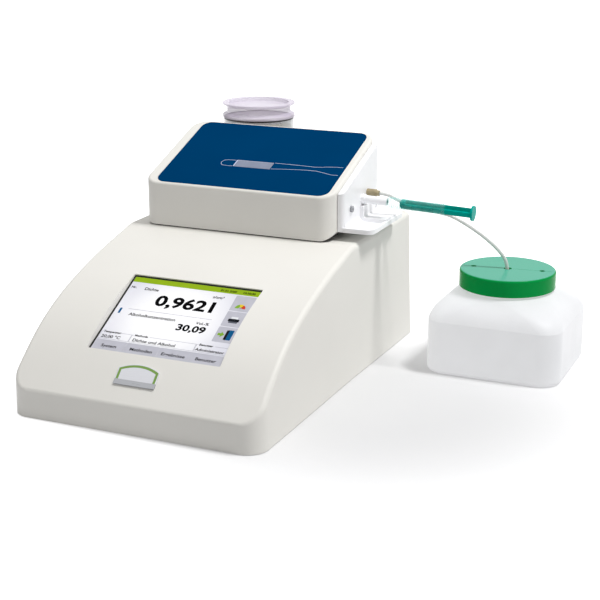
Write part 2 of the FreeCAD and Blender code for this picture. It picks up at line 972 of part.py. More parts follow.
def rising_edge(drop, y):
    """Arc along which the cover's lower edge rises at its right end, lowered by drop."""
    start = V(cover_right_x - cover_rise_run, y, cover_floor_z() - drop)
    radius = (cover_rise_run ** 2 + cover_rise ** 2) / (2 * cover_rise)
    half_turn = math.asin(cover_rise_run / radius) / 2
    middle = start + V(radius * math.sin(half_turn), 0, radius - radius * math.cos(half_turn))
    return Part.Arc(start, middle, start + V(cover_rise_run, 0, cover_rise))


def is_upright(edge):
    """Whether an edge stands vertically."""
    return edge.BoundBox.XLength < seat_gap and edge.BoundBox.YLength < seat_gap


def make_cover_seat():
    """Dark flange under the cover, closing its raised end, with an upright frame inside its walls."""
    frame_inset = cover_wall + seat_gap
    inner = slab(cover_footprint(frame_inset + seat_frame_thick, deck_z - overrun), deck_z)
    lower = rising_edge(seat_flange_thick, cover_front_y)
    upper = rising_edge(seat_gap, cover_front_y)
    step = upper.StartPoint + UP * seat_gap
    left_x = cover_left_x - overrun
    far = [step, V(left_x, step.y, step.z), V(left_x, step.y, deck_z), lower.StartPoint]
    edges = [lower.toShape()] + straight_edges([lower.EndPoint, upper.EndPoint])
    edges += [upper.toShape()] + straight_edges([upper.StartPoint] + far)
    strip = Part.Face(Part.Wire(edges)).extrude(BACK * cover_depth)
    flange = strip.common(slab(cover_footprint(seat_flange_inset, deck_z), body_depth))
    frame = slab(cover_footprint(frame_inset, deck_z), seat_flange_thick + seat_frame_height)
    past_end = box(step.x, 0, deck_z - overrun, cover_rise_run, body_depth, body_depth)
    return joined([flange, frame.cut(past_end)]).cut(inner.cut(past_end))


def make_cover_panel():
    """Flat panel let into the cover's top, open over the window."""
    return on_cover(panel_flat(0, -panel_thick, 0).cut(window_flat(seat_gap, -overrun, overrun)))


def make_cell_window():
    """Clear window in the panel, resting on the cover's lip."""
    return on_cover(window_flat(0, -panel_thick, 0))


def inner_corner(x, y, z, radius, length):
    """Concave filling between an upright face at x and a floor at z, from y backwards."""
    air = rod(2 * radius, length, V(x + radius, y, z + radius), BACK)
    return box(x, y, z, radius, length, radius).cut(air)


def make_port_adapter():
    """White side piece with a tall plate, a dished tray for drips and a raised pad under the ports."""
    start_x = cover_right_x + seat_gap
    plate = box(start_x, adapter_front_y, adapter_bottom_z, adapter_plate_thick, adapter_length, body_depth)
    plate = under_cover_top(plate, adapter_top_drop * math.cos(math.radians(cover_tilt_deg)))
    fronts = [edge for edge in plate.Edges if is_upright(edge)]
    front = [edge for edge in fronts if edge.CenterOfMass.y < adapter_front_y + seat_gap]
    outer_front = [edge for edge in front if edge.CenterOfMass.x > start_x + seat_gap]
    plate = plate.makeFillet(adapter_edge_round, outer_front)
    tray_x = start_x + adapter_tray_reach
    rear_y = adapter_front_y + adapter_tray_length
    back_x = start_x + adapter_plate_thick / 2
    corners = [(back_x, adapter_front_y), (tray_x, adapter_front_y), (tray_x, rear_y), (back_x, rear_y)]
    rounds = [adapter_plate_thick / 2, adapter_tray_corner_r, adapter_tray_corner_r, adapter_plate_thick / 2]
    tray = slab(rounded_outline(corners, rounds, adapter_bottom_z), adapter_tray_thick)
    face_x = adapter_face_x()
    floor_z = adapter_bottom_z + adapter_floor_thick
    front_y = adapter_front_y + adapter_lip
    dish_width = tray_x - adapter_lip - face_x
    dish_length = adapter_tray_length - 2 * adapter_lip
    dish = box(face_x, front_y, floor_z, dish_width, dish_length, adapter_tray_thick)
    sides = [edge for edge in dish.Edges if is_upright(edge) and edge.CenterOfMass.x > face_x]
    tray = tray.cut(dish.makeFillet(adapter_tray_corner_r - adapter_lip, sides))
    hollow = inner_corner(face_x, front_y, floor_z, adapter_hollow_r, adapter_pad_inset)
    pad_y = adapter_front_y + adapter_pad_inset
    upright = box(face_x, pad_y, floor_z, adapter_pad_thick, adapter_pad_length, adapter_pad_height)
    pad_reach = dish_width + adapter_lip / 2
    pad_run = rear_y - adapter_lip / 2 - pad_y
    level = box(face_x, pad_y, floor_z, pad_reach, pad_run, adapter_pad_thick)
    step = adapter_pad_thick
    fill = inner_corner(face_x + step, pad_y, floor_z + step, adapter_pad_r, pad_run)
    adapter = joined([plate, tray, hollow, upright, level, fill])
    through = adapter_plate_thick + 2 * overrun
    for place in port_places():
        hole = rod(port_stem_d + 2 * running_fit, through, place - RIGHT * overrun, RIGHT)
        adapter = adapter.cut(hole)
    for place in adapter_screw_places():
        adapter = adapter.cut(screw_hole(screw_length, place, LEFT))
    return adapter


def cell_end_x():
    """Right end of the cell block."""
    return cover_centre_x() + cell_block_length / 2


def port_stem(place):
    """Thin pipe from the cell block's end to the adapter's outer face."""
    return rod(port_stem_d, adapter_face_x() - cell_end_x(), V(cell_end_x(), place.y, place.z), RIGHT)


def port_direction():
    """Direction the sample port and the syringe point, drooping a little."""
    droop = math.radians(port_droop_deg)
    return V(math.cos(droop), 0, -math.sin(droop))


def port_root():
    """Where the sample port's axis leaves the adapter's plate."""
    return V(adapter_face_x(), port_front_y, port_front_z + port_root_lift)


def make_luer_port():
    """Sample port with a round boss, a flange on the adapter and a stem to the cell."""
    place = port_places()[0]
    axis = port_direction()
    root = port_root()
    flange = rod(luer_flange_d, luer_flange_length, root, RIGHT)
    boss = rod(luer_d, luer_length - luer_flange_length / 2, root + axis * (luer_flange_length / 2), axis)
    port = joined([port_stem(place), flange, boss])
    mouth = root + axis * luer_length
    port = port.cut(rod(luer_mouth_d, luer_mouth_depth() + overrun, mouth + axis * overrun, axis * -1))
    bore = rod(syringe_bore, luer_length, root, axis)
    stem_length = adapter_face_x() - cell_end_x() + luer_flange_length / 2
    stem_bore = rod(syringe_bore, stem_length, V(cell_end_x(), place.y, place.z), RIGHT)
    return port.cut(bore).cut(stem_bore)


def luer_mouth_depth():
    """Depth of the sample port's mouth, a little more than the nozzle that enters it."""
    return syringe_nozzle_length - syringe_gap + seat_gap


def make_waste_fitting():
    """Knurled nut on the waste port with its collar and the stem to the cell."""
    place = port_places()[1]
    start = V(adapter_face_x(), place.y, place.z)
    nut = rod(nut_d, nut_length - nut_collar_length, start, RIGHT)
    for index in range(nut_grips):
        angle = 2 * math.pi * index / nut_grips
        offset = V(0, math.cos(angle), math.sin(angle)) * (nut_d / 2)
        nut = nut.cut(rod(2 * nut_grip_depth, nut_length, start + offset - RIGHT * overrun, RIGHT))
    collar = rod(nut_collar_d, nut_length, start, RIGHT)
    fitting = joined([port_stem(place), nut, collar])
    bore_start = V(cell_end_x() - overrun, place.y, place.z)
    bore_length = adapter_face_x() - cell_end_x() + nut_length + 2 * overrun
    return fitting.cut(rod(tube_bore, bore_length, bore_start, RIGHT))


def on_cell(shape):
    """Shape made flat, set on the plane of the oscillator's two legs."""
    return tilted(shape, cover_tilt_deg, V(0, port_front_y, port_front_z))


def oscillator_end_x():
    """Left end of the oscillator's bend."""
    return cell_end_x() - oscillator_length


def make_cell_block():
    """Metal block with a trough for the oscillator and a bore for the sensor."""
    front = port_front_y - cell_front_margin
    low = deck_z + sink_base_thick + peltier_thick
    length = cell_block_length
    block = box(cell_end_x() - length, front, low, length, cell_block_width, body_depth)
    reach = body_width + body_depth
    block = block.cut(on_cell(box(-reach / 2, -reach / 2, cell_roof, reach, reach, reach)))
    trough_x = oscillator_end_x() - trough_margin
    trough_length = cell_end_x() - cell_end_wall - trough_x
    width = port_spacing + 2 * trough_margin
    height = trough_depth + cell_roof + overrun
    trough = box(trough_x, -trough_margin, -trough_depth, trough_length, width, height)
    block = block.cut(on_cell(trough))
    for leg_y in (0, port_spacing):
        start = V(cell_end_x() - cell_end_wall - overrun, leg_y, 0)
        hole = rod(oscillator_d + 2 * running_fit, cell_end_wall + 2 * overrun, start, RIGHT)
        block = block.cut(on_cell(hole))
    start = sensor_start() - RIGHT * overrun
    return block.cut(on_cell(rod(sensor_d + 2 * running_fit, sensor_length + overrun, start, RIGHT)))


def sensor_start():
    """Outer end of the temperature sensor, in the cell's own frame."""
    x = cell_end_x() - cell_block_length - sensor_tail
    return V(x, port_spacing / 2, -trough_depth - sensor_d)


def make_oscillator_tube():
    """Thin glass tube bent into a U, its two legs side by side."""
    radius = port_spacing / 2
    bend_x = oscillator_end_x() + oscillator_d / 2 + radius
    start = V(cell_end_x(), 0, 0)
    first = V(bend_x, 0, 0)
    far = V(bend_x - radius, radius, 0)
    second = V(bend_x, port_spacing, 0)
    end = V(cell_end_x(), port_spacing, 0)
    edges = [Part.LineSegment(start, first).toShape(), Part.Arc(first, far, second).toShape()]
    edges.append(Part.LineSegment(second, end).toShape())
    return on_cell(swept_tube(Part.Wire(edges), start, LEFT, oscillator_d, oscillator_bore))


def make_counter_mass():
    """Block clamped round both legs of the oscillator."""
    x = cell_end_x() - cell_end_wall - oscillator_length * clamp_place_share
    width = port_spacing + 2 * clamp_margin
    height = trough_depth + clamp_margin
    block = box(x - clamp_length, -clamp_margin, -trough_depth, clamp_length, width, height)
    for leg_y in (0, port_spacing):
        start = V(x - clamp_length - overrun, leg_y, 0)
        block = block.cut(rod(oscillator_d + 2 * running_fit, clamp_length + 2 * overrun, start, RIGHT))
    return on_cell(block)


def make_piezo_discs():
    """Two small driver discs on the trough's floor, one under each leg."""
    x = oscillator_end_x() + port_spacing + piezo_d
    places = [V(x, leg_y, -trough_depth) for leg_y in (0, port_spacing)]
    return grouped([on_cell(rod(piezo_d, piezo_thick, place)) for place in places])


def make_temperature_sensor():
    """Round probe in the left end of the cell block."""
    return on_cell(rod(sensor_d, sensor_length, sensor_start(), RIGHT))


def make_peltier_elements():
    """Two flat heat pumps between the cell block and the heat sink."""
    z = deck_z + sink_base_thick
    side = peltier_side
    places = [cover_centre_x() - peltier_spread, cover_centre_x() + peltier_spread]
    return grouped([upright_box(x, sink_centre_y(), z, side, side, peltier_thick) for x in places])


def make_heat_sink():
    """Plate on the deck with fins hanging down through its opening."""
    base = upright_box(cover_centre_x(), sink_centre_y(), deck_z, sink_length, sink_width, sink_base_thick)
    fin_length = sink_length - 2 * deck_opening_margin - 2 * seat_gap
    span = sink_width - 2 * deck_opening_margin - 2 * seat_gap - fin_thick
    shapes = [base]
    low = deck_z - fin_height
    for index in range(fin_count):
        y = sink_centre_y() - span / 2 + span * index / (fin_count - 1)
        shapes.append(upright_box(cover_centre_x(), y, low, fin_length, fin_thick, fin_height))
    return joined(shapes)


def make_cell_insulation():
    """Foam collar round the lower part of the cell block."""
    z = deck_z + sink_base_thick
    dx = cell_block_length + 2 * seat_gap
    dy = cell_block_width + 2 * seat_gap
    thick = 2 * insulation_thick
    outer = upright_box(cover_centre_x(), sink_centre_y(), z, dx + thick, dy + thick, insulation_height)
    return outer.cut(upright_box(cover_centre_x(), sink_centre_y(), z, dx, dy, insulation_height))


def make_lamp_board():
    """Strip of small lamps beside the trough."""
    y = port_spacing + trough_margin + lamp_board_width
    board = upright_box(cover_centre_x(), y, cell_roof, lamp_board_length, lamp_board_width, lamp_board_thick)
    shapes = [board]
    pitch = lamp_board_length / lamp_count
    for index in range(lamp_count):
        x = cover_centre_x() + (index - (lamp_count - 1) / 2) * pitch
        shapes.append(upright_box(x, y, cell_roof + lamp_board_thick, lamp_size, lamp_size, lamp_height))
    return on_cell(joined(shapes))


def make_fan_frame():
    """Square frame of the fan with its motor plate on three arms."""
    start = V(fan_x, body_depth - fan_depth, fan_z)
    frame = rear_slab(fan_x, fan_z, fan_side, fan_side, start.y, fan_depth)
    frame = frame.cut(rod(fan_bore_d, fan_depth + 2 * overrun, start - BACK * overrun, BACK))
    plate = rod(fan_hub_d, fan_floor, start, BACK)
    arms = []
    reach = fan_bore_d / 2 + running_fit
    for index in range(fan_arms):
        arm = box(fan_x, start.y, fan_z - fan_arm_width / 2, reach, fan_floor, fan_arm_width)
        arm.rotate(start, BACK, full_turn_deg * index / fan_arms)
        arms.append(arm)
    bearing = rod(fan_shaft_d + 2 * running_fit, fan_floor + 2 * overrun, start - BACK * overrun, BACK)
    return joined([frame, plate] + arms).cut(bearing)


def make_fan_rotor():
    """Hub with pitched blades and a short shaft in the motor plate."""
    length = fan_depth - fan_floor - 2 * seat_gap
    hub = rod(fan_hub_d, length, V(0, 0, 0))
    shaft = rod(fan_shaft_d, fan_floor + seat_gap, V(0, 0, -fan_floor - seat_gap))
    tip = fan_bore_d / 2 - fan_tip_gap
    chord = (length - fan_blade_thick) / math.cos(math.radians(fan_blade_pitch_deg))
    shapes = [hub, shaft]
    for index in range(fan_blades):
        blade = upright_box(0, 0, -chord / 2, tip, fan_blade_thick, chord)
        blade.translate(RIGHT * tip / 2)
        blade.rotate(V(0, 0, 0), RIGHT, fan_blade_pitch_deg)
        blade.translate(UP * length / 2)
        blade.rotate(V(0, 0, 0), UP, full_turn_deg * index / fan_blades)
        shapes.append(blade)
    rotor = joined(shapes)
    return set_along(rotor, V(fan_x, body_depth - fan_depth + fan_floor + seat_gap, fan_z), BACK)


def usb_z():
    """Height of the lowest connector."""
    return connector_low_z


def network_z():
    """Height of the middle connector."""
    return connector_low_z + connector_pitch


def serial_z():
    """Height of the highest connector."""
    return connector_low_z + 2 * connector_pitch


def panel_face_y():
    """Outer face of the rear panel."""
    return body_depth + rear_panel_thick


def connector_shell(z, dx, dz):
    """Block of a connector from inside the housing to a little past the rear panel."""
    start = body_depth - port_body_depth
    return rear_slab(connector_x, z, dx, dz, start, port_body_depth + rear_panel_thick + port_rim)


def make_usb_ports():
    """Two stacked flat sockets with their tongues."""
    shell = connector_shell(usb_z(), usb_width, usb_height)
    depth = port_body_depth
    start = panel_face_y() + port_rim - depth
    slot_width = usb_width - 2 * port_wall
    shapes = []
    for side in (-1, 1):
        z = usb_z() + side * (usb_slot_height + port_wall) / 2
        shell = shell.cut(rear_slab(connector_x, z, slot_width, usb_slot_height, start, depth + overrun))
        tongue_z = z + usb_slot_height / 2 - usb_tongue_thick
        shapes.append(rear_slab(connector_x, tongue_z, slot_width - 2 * port_wall, usb_tongue_thick,
                                start - seat_gap, depth - port_rim))
    return joined([shell] + shapes)


def make_network_port():
    """Square socket with a stepped opening and a row of contacts."""
    shell = connector_shell(network_z(), network_width, network_height)
    start = panel_face_y() + port_rim - port_body_depth
    low = network_z() - network_height / 2 + port_wall + network_latch_height
    high = network_z() + network_height / 2 - 2 * port_wall
    opening_z = (low + high) / 2
    depth = port_body_depth + overrun
    opening = rear_slab(connector_x, opening_z, network_opening_width, high - low, start, depth)
    latch = rear_slab(connector_x, low, network_latch_width, 2 * network_latch_height, start, depth)
    shell = shell.cut(opening).cut(latch)
    contacts = []
    pitch = network_opening_width / (network_contacts + 1)
    for index in range(network_contacts):
        x = connector_x + (index - (network_contacts - 1) / 2) * pitch
        contacts.append(rear_slab(x, high, pitch / 2, 2 * port_wall, start, port_body_depth / 2))
    return joined([shell] + contacts)


def serial_outline(inset, z):
    """Outline with a longer upper side for the serial connector, drawn in by inset."""
    half = serial_shell_width / 2 - inset
    short = half - serial_shell_slant
    tall = serial_shell_height / 2 - inset
    corners = [(-half, -tall), (half, -tall), (short, tall), (-short, tall)]
    return rounded_outline(corners, [serial_shell_corner_r - inset] * len(corners), z)


def on_rear_panel(shape, x, z):
    """Shape made flat, stood up against the rear panel's outer face."""
    return tilted(shape, -quarter_turn_deg, V(x, panel_face_y(), z))


def make_serial_port():
    """Nine-pin connector with its shell, plate and hexagonal posts."""
    plate = slab(rectangle_outline(0, 0, serial_width, serial_height, port_rim), port_rim)
    inside = rear_panel_thick + port_body_depth
    shell = slab(serial_outline(0, -inside), inside + serial_shell_reach)
    cavity = slab(serial_outline(port_wall, port_rim), serial_shell_reach)
    shapes = [plate, shell.cut(cavity)]
    body = joined(shapes)
    pins = []
    for row, count in enumerate(serial_rows):
        for index in range(count):
            x = (index - (count - 1) / 2) * serial_pin_pitch
            y = (row - 1 / 2) * serial_pin_pitch
            pins.append(rod(serial_pin_d, serial_shell_reach - port_wall, V(x, y, 0)))
    posts = []
    for side in (-1, 1):
        x = side * (serial_width + serial_shell_width) * post_spread_share
        post = Part.Face(Part.Wire(hexagon(hex_post_d, V(x, 0, 0)))).extrude(UP * serial_shell_reach)
        posts.append(post)
    return on_rear_panel(joined([body] + pins + posts), connector_x, serial_z())


def hexagon(across, centre):
    """Six straight edges of a hexagon round centre."""
    corners = []
    for index in range(hexagon_sides + 1):
        angle = 2 * math.pi * index / hexagon_sides
        corners.append(centre + V(math.cos(angle), math.sin(angle), 0) * (across / 2))
    return [Part.LineSegment(a, b).toShape() for a, b in zip(corners, corners[1:])]


def inlet_part(rise, dx, dz, depth):
    """Air of an opening in the power inlet's outer face, rise above its middle."""
    outer_y = panel_face_y() + inlet_flange_thick
    return rear_slab(inlet_x, inlet_z + rise, dx, dz, outer_y - depth, depth + overrun)


def make_power_inlet():
    """Mains inlet with its pins, a slot for the fuse drawer and a well for the rocker."""
    body = rear_slab(inlet_x, inlet_z, inlet_width, inlet_height, panel_face_y() - inlet_depth, inlet_depth)
    dx = inlet_width + 2 * inlet_flange
    dz = inlet_height + 2 * inlet_flange
    outline = rectangle_outline(0, 0, dx, dz, inlet_flange)
    flange = on_rear_panel(slab(outline, inlet_flange_thick), inlet_x, inlet_z)
    inlet = joined([body, flange])
    well = inlet_part(-inlet_well_drop, inlet_well_width, inlet_well_height, inlet_well_depth)
    inlet = inlet.cut(well)
    inlet = inlet.cut(inlet_part(fuse_lift, fuse_width, fuse_height, fuse_depth))
    inlet = inlet.cut(inlet_part(rocker_lift, rocker_width, rocker_height, rocker_depth + rocker_stand))
    pivot = rocker_pivot()
    hole_length = rocker_width + 2 * (rocker_pin_length + seat_gap)
    hole = rod(rocker_pin_d + 2 * running_fit, hole_length, pivot - RIGHT * hole_length / 2, RIGHT)
    inlet = inlet.cut(hole)
    outer_y = panel_face_y() + inlet_flange_thick
    pins = []
    for column, rise in zip((-1, 0, 1), (0, inlet_pin_thick, 0)):
        x = inlet_x + column * inlet_pin_pitch
        z = inlet_z - inlet_well_drop + rise
        start = outer_y - inlet_well_depth - seat_gap
        pins.append(rear_slab(x, z, inlet_pin_thick, inlet_pin_width, start, inlet_pin_length + seat_gap))
    return joined([inlet] + pins)


def rocker_pivot():
    """Middle of the rocker's pins."""
    return V(inlet_x, panel_face_y(), inlet_z + rocker_lift)


def make_power_switch():
    """Rocker with a dished face and two pins, tipped to its ON side."""
    half = rocker_height / 2 - rocker_clearance
    back = rocker_stand - rocker_depth
    face = [(rocker_stand, -half), (rocker_stand - rocker_dish, 0), (rocker_stand, half)]
    points = [(back, -half)] + face + [(back, half)]
    width = rocker_width - 2 * seat_gap
    rocker = side_prism(points, -width / 2, width)
    pins = rod(rocker_pin_d, width + 2 * rocker_pin_length, V(-width / 2 - rocker_pin_length, 0, 0), RIGHT)
    return tilted(joined([rocker, pins]), rocker_tilt_deg, rocker_pivot())


def make_fuse_drawer():
    """Drawer for the fuses with a small lip round its face."""
    outer_y = panel_face_y() + inlet_flange_thick
    z = inlet_z + fuse_lift
    dx = fuse_width - 2 * seat_gap
    dz = fuse_height - 2 * seat_gap
    depth = fuse_depth - seat_gap
    drawer = rear_slab(inlet_x, z, dx, dz, outer_y - depth, depth + fuse_lip)
    lip = rear_slab(inlet_x, z, fuse_width + 2 * fuse_lip, fuse_height + 2 * fuse_lip, outer_y, fuse_lip)
    tray_y = outer_y - depth + fuse_lip
    tray = rear_slab(inlet_x, z + fuse_lip, dx - 2 * fuse_lip, dz, tray_y, depth - 2 * fuse_lip)
    return joined([drawer.cut(tray), lip])


def base_top_z():
    """Upper face of the base plate."""
    return foot_height + base_plate_thick


def board_z():
    """Lower face of the main board."""
    return base_top_z() + standoff_height


def board_front():
    """Front edge of the main board."""
    return board_rear_y - board_width


def make_main_board():
    """Circuit board on its four pillars."""
    return box(board_left_x, board_front(), board_z(), board_length, board_width, board_thick)


def make_board_standoffs():
    """Four round pillars between base plate and main board."""
    places = []
    for x in (board_left_x + standoff_inset, board_left_x + board_length - standoff_inset):
        for y in (board_front() + standoff_inset, board_rear_y - standoff_inset):
            places.append(V(x, y, base_top_z()))
    return grouped([rod(standoff_d, standoff_height, place) for place in places])


def ribbon_x():
    """Middle of the flat cable from left to right."""
    return board_left_x + board_length / 2


def make_board_components():
    """Chips, capacitors and the flat cable's socket on the main board."""
    z = board_z() + board_thick
    middle_y = board_rear_y - board_width / 2
    socket_y = board_front() + socket_depth
    socket_width = ribbon_width + socket_depth
    socket = upright_box(ribbon_x(), socket_y, z, socket_width, socket_depth, socket_height)
    spread = board_length * chip_spread_share
    chips = [upright_box(ribbon_x() + side * spread, middle_y, z, chip_side, chip_side, chip_height)
             for side in (-1, 0, 1)]
    pitch = board_length / (capacitor_count + 1)
    rear_y = board_rear_y - capacitor_d
    capacitors = []
    for index in range(capacitor_count):
        x = board_left_x + pitch * (index + 1)
        capacitors.append(rod(capacitor_d, capacitor_height, V(x, rear_y, z)))
    return grouped([socket] + chips + capacitors)


def make_display_cable():
    """Flat cable from the display's back to its socket on the main board."""
    angle = math.radians(screen_tilt_deg)
    lift = V(0, math.sin(angle), -math.cos(angle)) * (-lcd_low() + ribbon_thick / 2)
    along = V(0, math.cos(angle), math.sin(angle))
    corner = V(ribbon_x(), screen_front_y, screen_front_z)
    start = corner + lift + along * screen_height * ribbon_start_share
    bend = corner + lift + along * screen_height * ribbon_bend_share
    level = board_z() + board_thick + socket_height / 2
    end_y = board_front() + socket_depth / 2
    points = [start, bend, V(bend.x, bend.y, level), V(bend.x, end_y, level)]
    half = RIGHT * (ribbon_width / 2)
    rise = lift.normalize() * (ribbon_thick / 2)
    loop = [start - half - rise, start + half - rise, start + half + rise, start - half + rise]
    return route(points).makePipeShell([Part.makePolygon(loop + loop[:1])], True, False)


def make_power_supply():
    """Closed power supply on the base plate."""
    return box(supply_left_x, supply_front_y, base_top_z(), supply_length, supply_depth, supply_height)


def pump_floor_z():
    """Lower face of the air pump."""
    return base_top_z() + mount_height


def pump_port_places():
    """Ends of the pump's two hose nipples."""
    z = pump_floor_z() + pump_height - port_drop
    y = pump_front_y + pump_width + nipple_length
    return [V(x, y, z) for x in (pump_left_x + port_inset, pump_left_x + pump_length - port_inset)]


def wall_nipple_places():
    """Inner ends of the two nipples in the housing's back wall."""
    y = body_depth - housing_wall - nipple_length
    return [V(cartridge_x, y, intake_z), V(outlet_x, y, outlet_z)]


def make_air_pump():
    """Small pump with a head on its motor case and two nipples."""
    case = box(pump_left_x, pump_front_y, pump_floor_z(), pump_length, pump_width, pump_height)
    upright = [edge for edge in case.Edges if is_upright(edge)]
    case = case.makeFillet(pump_round, upright)
    inset = pump_round
    head = box(pump_left_x + inset, pump_front_y + inset, pump_floor_z() + pump_height,
               pump_length - 2 * inset, pump_width - 2 * inset, pump_head_height)
    stems = [rod(nipple_d, nipple_length + 2 * inset, end, FRONT) for end in pump_port_places()]
    pump = joined([case, head] + stems)
    for end in pump_port_places():
        pump = pump.cut(rod(nipple_bore, nipple_length + overrun, end + BACK * overrun, FRONT))
    return pump


def make_pump_mounts():
    """Four rubber feet under the pump."""
    places = []
    for x in (pump_left_x + mount_d, pump_left_x + pump_length - mount_d):
        for y in (pump_front_y + mount_d, pump_front_y + pump_width - mount_d):
            places.append(V(x, y, base_top_z()))
    return grouped([rod(mount_d, mount_height, place) for place in places])


def hose_between(start, end):
    """Hose from a nipple in the back wall to a nipple of the pump."""
    points = [start, start - BACK * hose_lead, end + BACK * hose_lead, end]
    return swept_tube(route(points), start, FRONT, hose_d, hose_bore)


def make_suction_hose():
    """Hose from the cartridge's nipple to the pump."""
    return hose_between(wall_nipple_places()[0], pump_port_places()[0])


def make_pressure_hose():
    """Hose from the pump to the air outlet."""
    return hose_between(wall_nipple_places()[1], pump_port_places()[1])


def make_air_nipples():
    """Two nipples through the back wall, the air outlet's with its collar on the outside."""
    shapes = []
    inside = nipple_length + housing_wall
    outside = (seat_gap + holder_plate_thick, nipple_outer_collar + nipple_length)
    collars = ((nipple_length - nipple_collar_thick, nipple_collar_thick), (inside, nipple_outer_collar))
    for place, reach, (start, thick) in zip(wall_nipple_places(), outside, collars):
        stem = rod(nipple_d, inside + reach, place, BACK)
        collar = rod(nipple_d + 2 * nipple_collar_reach, thick, place + BACK * start, BACK)
        bore = rod(nipple_bore, inside + reach + 2 * overrun, place - BACK * overrun, BACK)
        shapes.append(joined([stem, collar]).cut(bore))
    return grouped(shapes)


def nipple_hole(place):
    """Air for a hose nipple through the housing's back wall and what lies on it."""
    return rod(nipple_d + 2 * running_fit, nipple_length + housing_wall + 2 * overrun, place, BACK)


def cartridge_base():
    """Middle of the drying cartridge's bottom."""
    y = body_depth + 2 * seat_gap + holder_plate_thick + cartridge_gap + cartridge_d / 2
    return V(cartridge_x, y, cartridge_floor_z)


def make_cartridge_body():
    """Clear jar, open at the top."""
    bore = cartridge_d - 2 * cartridge_wall
    jar = rod(cartridge_d, cartridge_length, cartridge_base())
    return jar.cut(rod(bore, cartridge_length, cartridge_base() + UP * cartridge_wall))


def make_desiccant():
    """Filling of drying granules."""
    bore = cartridge_d - 2 * cartridge_wall
    height = cartridge_length - cartridge_wall - cap_plug_depth - filling_headroom
    return rod(bore - 2 * filling_gap, height, cartridge_base() + UP * cartridge_wall)


def make_cartridge_seal():
    """Dark ring on the jar's rim."""
    base = cartridge_base() + UP * cartridge_length
    return pipe(cartridge_d, cartridge_d - 2 * cartridge_wall, seal_thick, base)


def make_cartridge_cap():
    """Spool-shaped cap with a hollow top and a plug in the jar."""
    base = cartridge_base() + UP * (cartridge_length + seal_thick)
    rim = cap_d / 2
    waist = cap_waist_d / 2
    low = cap_flange_height
    high = cap_height - cap_rim_height
    ease = rim - waist
    plug = cartridge_d / 2 - cartridge_wall - seat_gap
    hollow = waist - cap_wall
    points = [(0, 0), (plug - cap_wall, 0), (plug - cap_wall, -cap_plug_depth)]
    points += [(plug, -cap_plug_depth), (plug, 0)]
    points += [(rim, 0), (rim, low), (waist, low + ease / 2), (waist, high - ease / 2), (rim, high)]
    points += [(rim, cap_height), (hollow, cap_height), (hollow, cap_floor_height), (0, cap_floor_height)]
    return turned_profile(points, base)


def holder_screw_places():
    """Places of the holder's two screws on its plate."""
    y = body_depth + seat_gap + holder_plate_thick
    return [V(cartridge_x + side * holder_screw_spread, y, holder_screw_z) for side in (-1, 1)]


def make_cartridge_holder():
    """Cup and open clip ring on a plate against the back wall."""
    base = cartridge_base()
    low = base - UP * holder_wall
    inner_d = cartridge_d + 2 * cartridge_gap
    outer_d = inner_d + 2 * holder_wall
    cup = rod(outer_d, holder_cup_height, low).cut(rod(inner_d, holder_cup_height, base))
    ring = pipe(outer_d, inner_d, holder_ring_height, V(base.x, base.y, holder_ring_z))
    mouth_y = base.y + outer_d / 2
    ring = ring.cut(upright_box(base.x, mouth_y, holder_ring_z, holder_mouth, outer_d, holder_ring_height))
    plate_y = body_depth + seat_gap
    plate_height = holder_ring_z + holder_ring_height - low.z
    plate_x = base.x - holder_plate_width / 2
    plate = box(plate_x, plate_y, low.z, holder_plate_width, holder_plate_thick, plate_height)
    holder = joined([cup, ring, plate])
    for place in holder_screw_places():
        holder = holder.cut(screw_hole(screw_length, place, FRONT))
    return holder.cut(nipple_hole(wall_nipple_places()[0]))


def make_base_screws():
    """Four screws through the base plate."""
    return grouped([screw(screw_length, place) for place in base_screw_places()])


def make_rear_panel_screws():
    """Screws of the rear panel and of the cartridge's holder."""
    places = rear_screw_places() + holder_screw_places()
    return grouped([screw(screw_length, place, FRONT) for place in places])


def make_adapter_screws():
    """Two screws through the port adapter."""
    return grouped([screw(screw_length, place, LEFT) for place in adapter_screw_places()])


def barrel_start():
    """Middle of the syringe barrel's front."""
    return port_root() + port_direction() * (luer_length + syringe_gap)


def along_port(shape):
    """Shape made standing at the origin, laid along the syringe from the barrel's front."""
    return set_along(shape, barrel_start(), port_direction())


def make_syringe_barrel():
    """Clear barrel with a nozzle at the front and a flange at the back."""
    barrel = rod(barrel_d, barrel_length, V(0, 0, 0))
    flange = rod(barrel_flange_d, barrel_flange_thick, UP * (barrel_length - barrel_flange_thick))
    nozzle = rod(syringe_nozzle_d, syringe_nozzle_length, UP * -syringe_nozzle_length)
    whole = joined([barrel, flange, nozzle])
    whole = whole.cut(rod(barrel_bore, barrel_length, UP * barrel_end_wall))
    bore_length = syringe_nozzle_length + barrel_end_wall + 2 * overrun
    return along_port(whole.cut(rod(syringe_bore, bore_length, UP * -(syringe_nozzle_length + overrun))))


def make_syringe_plunger():
    """Plunger with a solid head, crossed ribs and a thumb disc."""
    start = barrel_end_wall + plunger_front_gap
    head_d = barrel_bore - 2 * running_fit
    head = rod(head_d, plunger_head_length, UP * (start + plunger_tip))
    tip = Part.makeCone(head_d / 2 - plunger_tip, head_d / 2, plunger_tip, UP * start)
    rib_start = start + plunger_tip + plunger_head_length
    rib_length = plunger_length - plunger_tip - plunger_head_length - plunger_disc_thick
    ribs = [upright_box(0, 0, rib_start, plunger_rib_d, plunger_rib, rib_length)]
    ribs.append(upright_box(0, 0, rib_start, plunger_rib, plunger_rib_d, rib_length))
    disc = rod(plunger_disc_d, plunger_disc_thick, UP * (start + plunger_length - plunger_disc_thick))
    return along_port(joined([tip, head] + ribs + [disc]))


